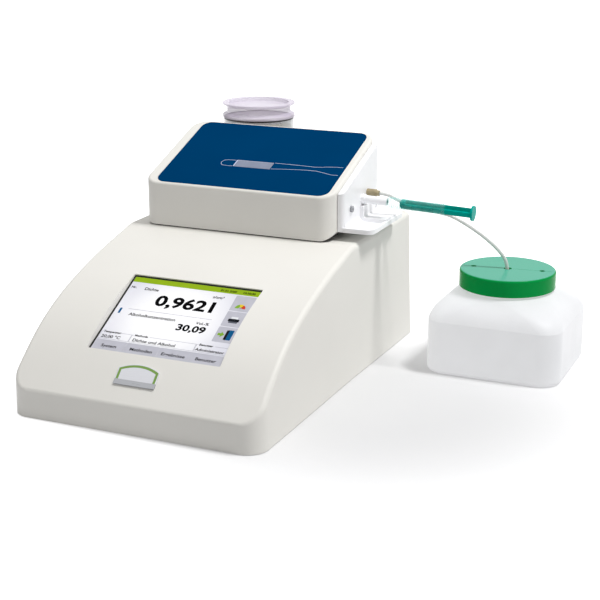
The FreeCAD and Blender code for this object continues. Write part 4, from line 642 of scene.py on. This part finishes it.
PICTURE_WIDTH = 115.2
PICTURE_HEIGHT = 86.4
KEYS_TOP = 12.6
BAND_FOOT = 80.6
GROUND_LAYER = (0.02, 0.05)
BAND_LAYER = (0.06, 0.08)
KEY_LAYER = (0.06, 0.09)
BAR_LAYER = (0.06, 0.1)
DIVIDER_LAYER = (0.1, 0.12)
SIGN_LAYER = (0.12, 0.16)
NEEDLE_LAYER = (0.17, 0.2)
SIGN_COLOURS = {
    "green": (132, 176, 60), "yellow": (232, 204, 60), "red": (214, 70, 48), "dark": (30, 32, 38),
    "paper": (232, 234, 238), "tray": (96, 100, 110), "blue": (24, 92, 140)}


def ground_material(settings):
    """Picture ground, pale in the middle and greyer towards its rim."""
    material, tree, main = shader("picture ground", Roughness=0.35, Emission_Strength=0.12)
    middle = SCREEN_FRAME @ Vector((PICTURE_WIDTH * 0.45, PICTURE_HEIGHT * 0.5, 0.0))
    away = measured(tree, "DISTANCE", own_points(tree), middle)
    fade = ranged(tree, away, 22 * MM, 66 * MM, interpolation_type="SMOOTHSTEP")
    tone = mixed_colour(tree, fade, opaque(settings.ground_colour), opaque(settings.edge_colour))
    tree.links.new(tone, main.inputs["Base Color"])
    tree.links.new(tone, main.inputs["Emission Color"])
    return material


def printed(name, rgb, roughness=0.4, glow=0.1):
    """Print or lit picture element with a very fine texture."""
    material, tree, main = shader(name, Specular_IOR_Level=0.05, IOR=1.1)
    node = join_group(tree, main, moulded_grain(), {
        "Colour": opaque(rgb), "Tint": scaled(rgb, 0.93), "Mottle Scale": 120.0,
        "Low Roughness": roughness - 0.03, "High Roughness": roughness + 0.03,
        "Grain Scale": 4000.0, "Grain Depth": 0.0}, with_normal=False)
    if glow:
        tree.links.new(node.outputs["Colour"], main.inputs["Emission Color"])
        main.inputs["Emission Strength"].default_value = glow
    return material


def add_sign(shape, outline, tone="green", layer=SIGN_LAYER):
    """Part of a sign on the display."""
    add_prism(shape, outline, layer, SCREEN_FRAME, list(SIGN_COLOURS).index(tone))


def add_gauge(shape, x, y):
    """Coloured half-round gauge with its needle."""
    for start, end, tone in ((180, 110, "green"), (110, 60, "yellow"), (60, 0, "red")):
        add_sign(shape, arc_points(x, y, 4.6, start, end) + arc_points(x, y, 1.4, end, start), tone)
    add_sign(shape, [(x - 0.3, y), (x + 0.3, y), (x + 2.6, y + 2.9)], "dark", NEEDLE_LAYER)


def add_printer(shape, x, y):
    """Small printer: dark body, paper above and a pale tray below."""
    add_sign(shape, rounded_outline(x - 4.8, y - 1.8, x + 4.8, y + 1.2, 0.7), "dark")
    add_sign(shape, rounded_outline(x - 3.0, y + 1.3, x + 3.0, y + 3.6, 0.3), "paper")
    add_sign(shape, rounded_outline(x - 3.8, y - 3.4, x + 3.8, y - 1.9, 0.3), "tray")


def add_door(shape, x, y):
    """Blue door with a green arrow beside it."""
    add_sign(shape, [(x, y - 5.0), (x + 2.2, y - 5.6), (x + 2.2, y + 5.6), (x, y + 5.0)], "dark")
    add_sign(shape, rounded_outline(x + 2.2, y - 5.4, x + 6.2, y + 5.6, 0.5), "blue")
    add_sign(shape, [(x - 6.4, y - 1.3), (x - 3.8, y - 1.3), (x - 3.8, y - 3.0), (x - 0.6, y),
                     (x - 3.8, y + 3.0), (x - 3.8, y + 1.3), (x - 6.4, y + 1.3)])


def make_picture_ground(settings):
    """Ground of the picture over the pane, with the band along its top."""
    for name, foot, layer, material in (
            ("picture_ground", 0, GROUND_LAYER, ground_material(settings)),
            ("picture_band", BAND_FOOT, BAND_LAYER, printed("picture band", settings.band_colour))):
        shape = bmesh.new()
        outline = [(0, foot), (PICTURE_WIDTH, foot), (PICTURE_WIDTH, PICTURE_HEIGHT), (0, PICTURE_HEIGHT)]
        add_prism(shape, outline, layer, SCREEN_FRAME)
        new_piece(name, shape, "instrument", material)


def make_picture_keys(settings):
    """Soft keys along the foot and down the right side."""
    shape = bmesh.new()
    for left, right in ((0.2, 28.3), (28.9, 57.7), (58.3, 86.5), (87.1, 115.0)):
        add_prism(shape, rounded_outline(left, 0.2, right, KEYS_TOP, 0.6), KEY_LAYER, SCREEN_FRAME)
    for low, high in ((62.2, 79.6), (44.5, 61.4), (26.8, 43.7)):
        add_prism(shape, rounded_outline(96.6, low, 114.4, high, 0.8), KEY_LAYER, SCREEN_FRAME)
    new_piece("picture_keys", shape, "instrument", printed("picture keys", settings.key_colour))


def make_picture_lines(settings):
    """Thin lines round the fields and between the readings."""
    shape = bmesh.new()
    low, high = 13.6, 21.4
    add_ribbon(shape, [(11.0, 49.4), (87.0, 49.4)], 0.35, BAND_LAYER, SCREEN_FRAME)
    for left, right, gap in ((0.8, 28.0, 16.0), (28.6, 86.0, 14.0), (86.6, 114.4, 14.0)):
        title = left + 1.6
        field = [(title, high), (left, high), (left, low), (right, low), (right, high), (title + gap, high)]
        add_ribbon(shape, field, 0.3, BAND_LAYER, SCREEN_FRAME)
    for x in (28.6, 58.0, 86.8):
        add_ribbon(shape, [(x, 0.2), (x, KEYS_TOP)], 0.35, DIVIDER_LAYER, SCREEN_FRAME)
    new_piece("picture_lines", shape, "instrument", printed("picture lines", settings.line_colour))


def make_picture_words(settings):
    """Readings, units and plain captions."""
    shape = bmesh.new()
    add_words(shape, settings.main_value, 16.5, 86.7, 57.0, "RIGHT", 0.55, 1.26, 0.1)
    add_words(shape, settings.second_value, 9.6, 87.0, 33.4, "RIGHT", 0.34, 1.22, 0.1)
    for words, size, x, y, align in (
            ("g/cm³", 4.2, 77.0, 73.2, "LEFT"), ("Vol.-%", 4.0, 75.6, 42.4, "LEFT"),
            ("Dichte", 4.4, 14.2, 72.6, "LEFT"), ("Nr.", 3.2, 1.6, 73.4, "LEFT"),
            ("Alkoholkonzentration", 4.4, 14.2, 42.2, "LEFT"),
            (settings.temperature, 4.4, 2.4, 14.8, "LEFT"), ("Dichte und Alkohol", 4.4, 31.0, 14.8, "LEFT"),
            ("Administrator", 4.0, 87.4, 14.8, "LEFT"), ("Temperatur", 3.0, 2.2, 20.5, "LEFT"),
            ("Methode", 3.0, 30.8, 20.5, "LEFT"), ("Benutzer", 3.0, 88.6, 20.5, "LEFT"),
            ("System", 4.5, 14.4, 4.8, "CENTER"), ("Methoden", 4.5, 43.6, 4.8, "CENTER"),
            ("Ergebnisse", 4.5, 72.2, 4.8, "CENTER"), ("Benutzer", 4.5, 100.8, 4.8, "CENTER"),
            ("01.01.2020", 3.0, 95.0, 82.3, "RIGHT"), ("10:30:00", 3.0, 111.6, 82.3, "RIGHT")):
        add_words(shape, words, size, x, y, align, 0.09, 1.1, 0.11)
    new_piece("picture_words", shape, "instrument", printed("picture ink", settings.ink_colour, glow=0.0))


def make_picture_signs():
    """Signs on the keys at the right and the small level bar at the left."""
    shape = bmesh.new()
    add_gauge(shape, 105.0, 65.4)
    add_printer(shape, 105.4, 52.0)
    add_door(shape, 105.0, 35.2)
    add_sign(shape, rounded_outline(3.6, 43.2, 5.6, 49.4, 0.5), "blue", BAR_LAYER)
    inks = [printed("sign " + tone, swatch(*rgb)) for tone, rgb in SIGN_COLOURS.items()]
    new_piece("picture_signs", shape, "instrument", *inks)


class METER_OT_display(Operator):
    """Display pane, its module and the picture on it"""
    bl_idname = "meter.display"
    bl_label = "Display"

    def execute(self, context):
        settings = context.scene.meter_display
        dress(plastic("pane border", settings.border_colour, 0.16, tint=0.8, mottle=30.0, depth=0.0,
                      Coat_Weight=0.3), "touch_panel")
        dress(plastic("gasket foam", swatch(24, 24, 25), 0.8, tint=0.8, mottle=80.0, depth=0.04),
              "display_gasket")
        dress(metal("module frame", swatch(170, 172, 174), 0.35), "lcd_module")
        dress(metal("bracket steel", swatch(184, 186, 188), 0.36, DEEP_STREAKS), "display_bracket")
        dress(metal("display screw steel", swatch(200, 200, 202), 0.26, FINE_STREAKS), "display_screws")
        dress(plastic("flat cable", swatch(198, 198, 202), 0.5, tint=0.85, mottle=200.0, grain=700.0,
                      depth=0.03), "display_cable")
        make_picture_ground(settings)
        make_picture_keys(settings)
        make_picture_lines(settings)
        make_picture_words(settings)
        make_picture_signs()
        return {"FINISHED"}


# Blank plate

PLATE_HALF = 18.0
PLATE_SIDE = 14.3
PLATE_RISE = 4.6
PLATE_LINE_GAP = 0.7
PLATE_ORIGIN = place(-1.6, 12.0, 36.0)
PLATE_SLOPE = math.radians(44.0)


def plate_material(settings):
    """Printed plate: pale face, a coloured line inside its edge and a bright strip at its foot."""
    material, tree, main = shader("plate print", Coat_Weight=0.25, Coat_Roughness=0.12)
    local = moved(tree, "SUBTRACT", own_points(tree), PLATE_ORIGIN)
    up = measured(tree, "DOT_PRODUCT", local, (0.0, math.cos(PLATE_SLOPE), math.sin(PLATE_SLOPE)))
    outward = calculated(tree, "ABSOLUTE", measured(tree, "DOT_PRODUCT", local, (1.0, 0.0, 0.0)))
    to_side = calculated(tree, "SUBTRACT", PLATE_HALF * MM, outward)
    radius = (PLATE_HALF ** 2 + PLATE_RISE ** 2) / (2 * PLATE_RISE)
    lifted = calculated(tree, "ADD", up, (radius - PLATE_SIDE - PLATE_RISE) * MM)
    pair = add_node(tree, "ShaderNodeCombineXYZ", {"X": outward, "Y": lifted}).outputs[0]
    to_top = calculated(tree, "SUBTRACT", radius * MM, measured(tree, "LENGTH", pair))
    nearest = calculated(tree, "MINIMUM", to_side, to_top)
    half_line = settings.edge_width / 2
    line = calculated(tree, "COMPARE", nearest, PLATE_LINE_GAP * MM + half_line, half_line)
    foot = calculated(tree, "LESS_THAN", up, settings.foot_height)
    face = mixed_colour(tree, line, opaque(settings.face_colour), opaque(settings.edge_colour))
    print_colour = mixed_colour(tree, foot, face, opaque(settings.foot_colour))
    streaks = add_node(tree, "ShaderNodeGroup", node_tree=brushed_streaks())
    streaks.inputs["Colour"].default_value = WHITE
    streaks.inputs["Tint"].default_value = (0.93, 0.93, 0.94, 1.0)
    streaked = mixed_colour(tree, 1.0, print_colour, streaks.outputs["Colour"], blend_type="MULTIPLY")
    tree.links.new(streaked, main.inputs["Base Color"])
    tree.links.new(streaks.outputs["Roughness"], main.inputs["Roughness"])
    tree.links.new(calculated(tree, "MULTIPLY", foot, 0.6), main.inputs["Metallic"])
    return material


class METER_OT_plate(Operator):
    """Blank plate under the display"""
    bl_idname = "meter.plate"
    bl_label = "Blank Plate"

    def execute(self, context):
        dress(plate_material(context.scene.meter_plate), "name_plate")
        return {"FINISHED"}


# Cover of the measuring cell

LINE_LAYER = (0.02, 0.08)


def make_tube_outline(settings):
    """Line drawing of the bent measuring tube on the panel, and the bright frame of its window."""
    upper = [(-21.8, 46.9), (-30.0, 46.6), (-33.4, 45.4), (-34.6, 42.6),
             (-34.0, 39.4), (-31.8, 37.4), (-28.0, 37.0), (-21.8, 37.0)]
    far_leg = [(15.6, 47.5), (30.0, 47.4), (39.0, 47.2), (54.0, 46.6),
               (60.0, 47.3), (66.0, 48.6), (73.0, 49.3), (79.4, 49.5)]
    near_leg = [(15.6, 37.6), (27.0, 39.0), (38.0, 39.9), (50.0, 40.6),
                (58.0, 40.4), (66.0, 38.4), (73.6, 36.4), (79.4, 36.6)]
    width = settings.line_width / MM
    shape = bmesh.new()
    for path, line in ((upper, width), (far_leg, width), (near_leg, width),
                       ([(-20.9, 37.2), (-20.9, 47.0)], 0.9), ([(-20.9, 47.2), (14.9, 47.2)], 0.4)):
        add_ribbon(shape, path, line, LINE_LAYER, COVER_FRAME)
    # The line print glows faintly (emission 0.05): painted light, as the print is no lamp.
    ink = printed("panel line print", settings.line_colour, 0.4, 0.05)
    new_piece("tube_outline", shape, "instrument", ink)


def window_material(settings):
    """Frosted clear window over the evenly lit cell."""
    material, tree, main = shader("cell window", Specular_IOR_Level=0.15)
    join_group(tree, main, moulded_grain(), {
        "Colour": opaque(settings.window_colour), "Tint": scaled(settings.window_colour, 0.88),
        "Mottle Scale": 90.0, "Low Roughness": 0.3, "High Roughness": 0.4,
        "Grain Scale": 3000.0, "Grain Depth": 0.01 * MM})
    return material


class METER_OT_cover(Operator):
    """Cover of the measuring cell with its panel, window and seam"""
    bl_idname = "meter.cover"
    bl_label = "Cell Cover"

    def execute(self, context):
        settings = context.scene.meter_cover
        dress(plastic("cover plastic", settings.cover_colour, 0.48, tint=0.975, mottle=12.0), "cell_cover")
        dress(plastic("seam plastic", settings.seam_colour, 0.7, tint=0.7, mottle=40.0), "cover_seat")
        dress(plastic("panel film", settings.panel_colour, 0.5, tint=0.94, mottle=14.0, grain=2400.0,
                      depth=0.006, Specular_IOR_Level=0.0, IOR=1.05), "cover_panel")
        dress(window_material(settings), "cell_window")
        make_tube_outline(settings)
        return {"FINISHED"}


# Ports and syringe

class METER_OT_ports(Operator):
    """White side piece, its screws, the sample port and the waste line's nut"""
    bl_idname = "meter.ports"
    bl_label = "Sample Ports"

    def execute(self, context):
        settings = context.scene.meter_ports
        dress(plastic("adapter plastic", settings.adapter_colour, 0.36, tint=0.985, mottle=14.0, depth=0.006),
              "port_adapter")
        dress(plastic("port plastic", settings.adapter_colour, 0.3, tint=0.97, mottle=60.0, depth=0.006),
              "luer_port")
        dress(metal("adapter screw steel", swatch(150, 152, 156), 0.28, FINE_STREAKS), "adapter_screws")
        dress(plastic("nut plastic", settings.nut_colour, 0.4, tint=0.85, mottle=120.0, depth=0.02),
              "waste_fitting")
        return {"FINISHED"}


BARREL_RADIUS = 5.0
MARK_LAYER = (0.01, 0.05)
MARK_MIDDLE = 16.0
MARK_COUNT = 21
MARK_START = 4.0
MARK_STEP = 1.85
MARK_WIDTH = 0.22
BOX_FACES = ((0, 1, 3, 2), (4, 6, 7, 5), (0, 4, 5, 1), (2, 3, 7, 6), (0, 2, 6, 4), (1, 5, 7, 3))


def add_barrel_arc(shape, along, reach_deg, steps=8):
    """Printed mark that wraps round part of the barrel, as far as reach_deg to either side."""
    start = MARK_MIDDLE - reach_deg
    turns = [math.radians(start + 2 * reach_deg * step / steps) for step in range(steps + 1)]
    for first, second in zip(turns, turns[1:]):
        corners = []
        for height in MARK_LAYER:
            radius = BARREL_RADIUS + height
            for angle in (first, second):
                for run in (along, along + MARK_WIDTH):
                    point = Vector((radius * math.cos(angle), radius * math.sin(angle), run))
                    corners.append(shape.verts.new(SYRINGE_FRAME @ point))
        for face in BOX_FACES:
            shape.faces.new([corners[index] for index in face])


def make_barrel_marks():
    """Graduation of the barrel: a long mark at each millilitre and short ones between."""
    shape = bmesh.new()
    for index in range(MARK_COUNT):
        reach = 34 if index % 10 == 0 else 20 if index % 5 == 0 else 11
        add_barrel_arc(shape, MARK_START + index * MARK_STEP, reach)
    new_piece("barrel_marks", shape, "barrel", printed("barrel ink", swatch(16, 22, 26), glow=0.0))


class METER_OT_syringe(Operator):
    """Syringe barrel with its graduation, and the plunger"""
    bl_idname = "meter.syringe"
    bl_label = "Syringe"

    def execute(self, context):
        settings = context.scene.meter_ports
        dress(clear_plastic("barrel plastic", settings.barrel_colour, 0.03, 0.4, 0.12), "syringe_barrel")
        dress(plastic("plunger plastic", settings.plunger_colour, 0.3, tint=0.85, mottle=90.0, depth=0.006,
                      Specular_IOR_Level=0.2, IOR=1.15), "syringe_plunger")
        make_barrel_marks()
        return {"FINISHED"}


# Waste tube

TUBE_ROUTE = [
    (105.3, 262.0, 147.4),
    (114.0, 262.6, 147.0),
    (124.0, 265.0, 140.5),
    (147.0, 270.5, 134.5),
    (166.0, 275.5, 131.0),
    (184.0, 280.0, 120.5),
    (199.0, 283.8, 109.5),
    (210.3, 286.7, 98.5),
    (216.0, 288.0, 88.0),
    (216.0, 288.0, 76.0),
]


def tube_centreline():
    """Points along the smooth curve of the tube's route."""
    curve = bpy.data.curves.new("tube route", "CURVE")
    curve.dimensions = "3D"
    curve.resolution_u = 12
    spline = curve.splines.new("NURBS")
    spline.points.add(len(TUBE_ROUTE) - 1)
    for point, route in zip(spline.points, TUBE_ROUTE):
        point.co = place(*route).to_4d()
    spline.order_u = 3
    spline.use_endpoint_u = True
    line = mesh_from_curve(curve)
    points = [vertex.co.copy() for vertex in line.vertices]
    bpy.data.meshes.remove(line)
    return points


def join_rings(shape, low, high):
    """Faces between two rings of as many points."""
    for turn in range(len(low)):
        after = (turn + 1) % len(low)
        shape.faces.new((low[turn], low[after], high[after], high[turn]))


def add_swept_wall(shape, points, radius, sides=20):
    """Rings of a round wall along the points, turned as little as possible from one to the next."""
    rings = []
    across = (points[1] - points[0]).normalized().orthogonal().normalized()
    for index, point in enumerate(points):
        before = points[max(0, index - 1)]
        after = points[min(len(points) - 1, index + 1)]
        along = (after - before).normalized()
        across = (across - along * across.dot(along)).normalized()
        side = along.cross(across)
        angles = [2 * math.pi * turn / sides for turn in range(sides)]
        rings.append([shape.verts.new(point + (across * math.cos(angle) + side * math.sin(angle)) * radius)
                      for angle in angles])
    for low, high in zip(rings, rings[1:]):
        join_rings(shape, low, high)
    return rings


def make_waste_tube(settings):
    """Tube from the nut to the lid, in place of the frame's own tube, which it hides."""
    points = tube_centreline()
    shape = bmesh.new()
    outer = add_swept_wall(shape, points, settings.tube_diameter / 2)
    inner = add_swept_wall(shape, points, settings.tube_diameter / 4)
    join_rings(shape, outer[0], inner[0])
    join_rings(shape, outer[-1], inner[-1])
    bmesh.ops.recalc_face_normals(shape, faces=shape.faces)
    wall = clear_plastic("tube wall", settings.tube_colour, 0.86, 0.96, 0.22)
    mesh = mesh_from_shape("waste_line", shape, wall)
    mesh.polygons.foreach_set("use_smooth", [True] * len(mesh.polygons))
    piece = add_object("waste_line", mesh)
    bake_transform(piece)
    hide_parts("waste_tube")


class METER_OT_tube(Operator):
    """Waste tube from the upper port to the bottle"""
    bl_idname = "meter.tube"
    bl_label = "Waste Tube"

    def execute(self, context):
        make_waste_tube(context.scene.meter_ports)
        return {"FINISHED"}


# Waste bottle

LID_TURN = Matrix.Rotation(math.radians(7.0), 4, "Z")
LID_FRAME = Matrix.Translation(place(216.0, 288.0, 85.0)) @ LID_TURN @ Matrix.Scale(MM, 4)
SEAM_LAYER = (-0.05, 0.07)


def make_lid_seam(material):
    """Fine raised line across the lid's top."""
    shape = bmesh.new()
    for start, end in ((-39.0, -4.4), (4.4, 39.0)):
        add_ribbon(shape, [(start, 0.0), (end, 0.0)], 0.3, SEAM_LAYER, LID_FRAME)
    new_piece("lid_seam", shape, "lid", material)


def lid_material(settings):
    """Moulded lid, glossy on its side, with a painted teal sheen in the colour of its upward-facing top."""
    material, tree, main = shader("lid plastic", Specular_IOR_Level=0.2, IOR=1.2)
    node = join_group(tree, main, moulded_grain(), {
        "Colour": opaque(settings.lid_colour), "Tint": scaled(settings.lid_colour, 0.94),
        "Mottle Scale": 30.0, "Low Roughness": 0.16, "High Roughness": 0.26,
        "Grain Scale": 500.0, "Grain Depth": 0.004 * MM})
    # Upward-facing faces take the top colour: a painted sheen, not a finish of the plastic.
    facing = add_node(tree, "ShaderNodeTexCoord").outputs["Normal"]
    upward = add_node(tree, "ShaderNodeSeparateXYZ", {0: facing}).outputs["Z"]
    level = ranged(tree, upward, 0.75, 0.98)
    tone = mixed_colour(tree, level, node.outputs["Colour"], opaque(settings.lid_top_sheen_colour))
    tree.links.new(tone, main.inputs["Base Color"])
    return material


class METER_OT_bottle(Operator):
    """Waste bottle, its lid and the soft disc in it"""
    bl_idname = "meter.bottle"
    bl_label = "Waste Bottle"

    def execute(self, context):
        settings = context.scene.meter_bottle
        lid = lid_material(settings)
        # The bottle's plastic glows (emission 0.36 of white): painted light standing in for light through the
        # translucent wall.
        wall = clear_plastic("bottle plastic with painted glow", settings.bottle_colour, 0.82, 0.92, 0.42,
                             Specular_IOR_Level=0.2, Emission_Color=WHITE, Emission_Strength=0.36)
        dress(wall, "waste_bottle")
        dress(lid, "bottle_lid")
        dress(plastic("liner foam", settings.liner_colour, 0.7, tint=0.9, mottle=60.0, depth=0.05),
              "lid_liner")
        make_lid_seam(lid)
        return {"FINISHED"}


# Drying cartridge

class METER_OT_cartridge(Operator):
    """Drying cartridge with its cap, seal, granules and holder"""
    bl_idname = "meter.cartridge"
    bl_label = "Drying Cartridge"

    def execute(self, context):
        settings = context.scene.meter_cartridge
        dress(clear_plastic("cap plastic", settings.cap_colour, 0.44, 0.8, 0.22), "cartridge_cap")
        dress(clear_plastic("jar plastic", settings.jar_colour, 0.22, 0.7, 0.08), "cartridge_body")
        dress(plastic("seal rubber", settings.seal_colour, 0.55, tint=0.8, mottle=60.0), "cartridge_seal")
        material, tree, main = shader("drying granules")
        join_group(tree, main, packed_grains(), {
            "Colour": opaque(settings.filling_colour), "Pale Colour": scaled(settings.filling_colour, 1.35),
            "Gap Shade": scaled(settings.filling_colour, 0.42),
            "Grain Scale": 330.0, "Grain Depth": 0.8 * MM})
        dress(material, "desiccant")
        dress(plastic("holder plastic", swatch(40, 41, 43), 0.5, tint=0.8, mottle=30.0), "cartridge_holder")
        return {"FINISHED"}


# Inside

class METER_OT_cell(Operator):
    """Measuring cell under the cover"""
    bl_idname = "meter.cell"
    bl_label = "Measuring Cell"

    def execute(self, context):
        dress(metal("cell aluminium", swatch(196, 198, 200), 0.34), "cell_block")
        dress(metal("sink aluminium", swatch(182, 184, 188), 0.4, DEEP_STREAKS), "heat_sink")
        dress(clear_plastic("cell glass", swatch(222, 232, 236), 0.3, 0.8, 0.04), "oscillator_tube")
        dress(metal("cell brass", swatch(196, 164, 92), 0.3, FINE_STREAKS),
              "counter_mass", "temperature_sensor")
        dress(plastic("ceramic", swatch(226, 222, 208), 0.45, tint=0.9, mottle=150.0),
              "piezo_discs", "peltier_elements")
        foam, tree, main = shader("cell foam")
        join_group(tree, main, packed_grains(), {
            "Colour": opaque(swatch(62, 62, 66)), "Pale Colour": opaque(swatch(84, 84, 90)),
            "Gap Shade": opaque(swatch(26, 26, 28)), "Grain Scale": 900.0, "Grain Depth": 0.3 * MM})
        dress(foam, "cell_insulation")
        return {"FINISHED"}


class METER_OT_electronics(Operator):
    """Boards, power supply, fan and air pump with its hoses"""
    bl_idname = "meter.electronics"
    bl_label = "Electronics"

    def execute(self, context):
        dress(plastic("board lacquer", swatch(16, 92, 54), 0.3, tint=0.7, mottle=300.0, grain=900.0,
                      depth=0.03),
              "main_board", "lamp_board")
        dress(plastic("chip case", swatch(34, 34, 37), 0.5, tint=0.7, mottle=200.0), "board_components")
        dress(metal("brass fittings", swatch(204, 174, 104), 0.28, FINE_STREAKS),
              "board_standoffs", "air_nipples")
        dress(metal("supply case", swatch(168, 170, 174), 0.42), "power_supply")
        dress(plastic("fan plastic", swatch(26, 26, 28), 0.46, tint=0.8, mottle=60.0),
              "fan_frame", "fan_rotor")
        dress(plastic("pump case", swatch(48, 50, 54), 0.45, tint=0.8, mottle=40.0), "air_pump")
        dress(plastic("pump rubber", swatch(30, 30, 31), 0.75, tint=0.8, mottle=60.0, depth=0.05),
              "pump_mounts")
        dress(clear_plastic("hose wall", swatch(228, 228, 222), 0.8, 0.95, 0.3),
              "suction_hose", "pressure_hose")
        return {"FINISHED"}


class METER_OT_rear(Operator):
    """Rear panel with its inlet, switch, fuse drawer and connectors"""
    bl_idname = "meter.rear"
    bl_label = "Rear Panel"

    def execute(self, context):
        dress(metal("rear sheet", swatch(186, 188, 190), 0.36), "rear_panel")
        dress(plastic("inlet plastic", swatch(28, 28, 30), 0.42, tint=0.8, mottle=60.0),
              "power_inlet", "fuse_drawer")
        dress(plastic("rocker plastic", swatch(20, 20, 22), 0.24, tint=0.8, mottle=60.0), "power_switch")
        dress(metal("connector shell", swatch(204, 205, 206), 0.24, FINE_STREAKS), "usb_ports", "serial_port")
        dress(plastic("network socket", swatch(38, 39, 42), 0.4, tint=0.8, mottle=80.0), "network_port")
        return {"FINISHED"}


OPERATORS = (
    METER_OT_stage, METER_OT_tube, METER_OT_housing, METER_OT_display, METER_OT_plate, METER_OT_cover,
    METER_OT_ports, METER_OT_syringe, METER_OT_bottle, METER_OT_cartridge, METER_OT_cell,
    METER_OT_electronics, METER_OT_rear)

SETTINGS = (
    ("meter_stage", StageSettings), ("meter_housing", HousingSettings), ("meter_display", DisplaySettings),
    ("meter_plate", PlateSettings), ("meter_cover", CoverSettings), ("meter_ports", PortSettings),
    ("meter_bottle", BottleSettings), ("meter_cartridge", CartridgeSettings))


class METER_PT_sidebar(Panel):
    """Lists the steps and their settings"""
    bl_idname = "METER_PT_sidebar"
    bl_label = "Density Meter"
    bl_space_type = "VIEW_3D"
    bl_region_type = "UI"
    bl_category = "Density Meter"

    def draw(self, context):
        for operator in OPERATORS:
            self.layout.operator(operator.bl_idname)
        for name, group in SETTINGS:
            box = self.layout.box()
            box.label(text=group.__doc__)
            for key in group.__annotations__:
                box.prop(getattr(context.scene, name), key)


def register():
    for name, group in SETTINGS:
        bpy.utils.register_class(group)
        setattr(bpy.types.Scene, name, PointerProperty(type=group))
    for operator in OPERATORS:
        bpy.utils.register_class(operator)
    bpy.utils.register_class(METER_PT_sidebar)


def unregister():
    bpy.utils.unregister_class(METER_PT_sidebar)
    for operator in reversed(OPERATORS):
        bpy.utils.unregister_class(operator)
    for name, group in reversed(SETTINGS):
        delattr(bpy.types.Scene, name)
        bpy.utils.unregister_class(group)


def main():
    """Runs every step in order."""
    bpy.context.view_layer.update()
    register()
    bpy.ops.meter.stage()
    bpy.ops.meter.tube()
    bpy.ops.meter.housing()
    bpy.ops.meter.display()
    bpy.ops.meter.plate()
    bpy.ops.meter.cover()
    bpy.ops.meter.ports()
    bpy.ops.meter.syringe()
    bpy.ops.meter.bottle()
    bpy.ops.meter.cartridge()
    bpy.ops.meter.cell()
    bpy.ops.meter.electronics()
    bpy.ops.meter.rear()
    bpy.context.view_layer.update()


if __name__ == "__main__":
    main()
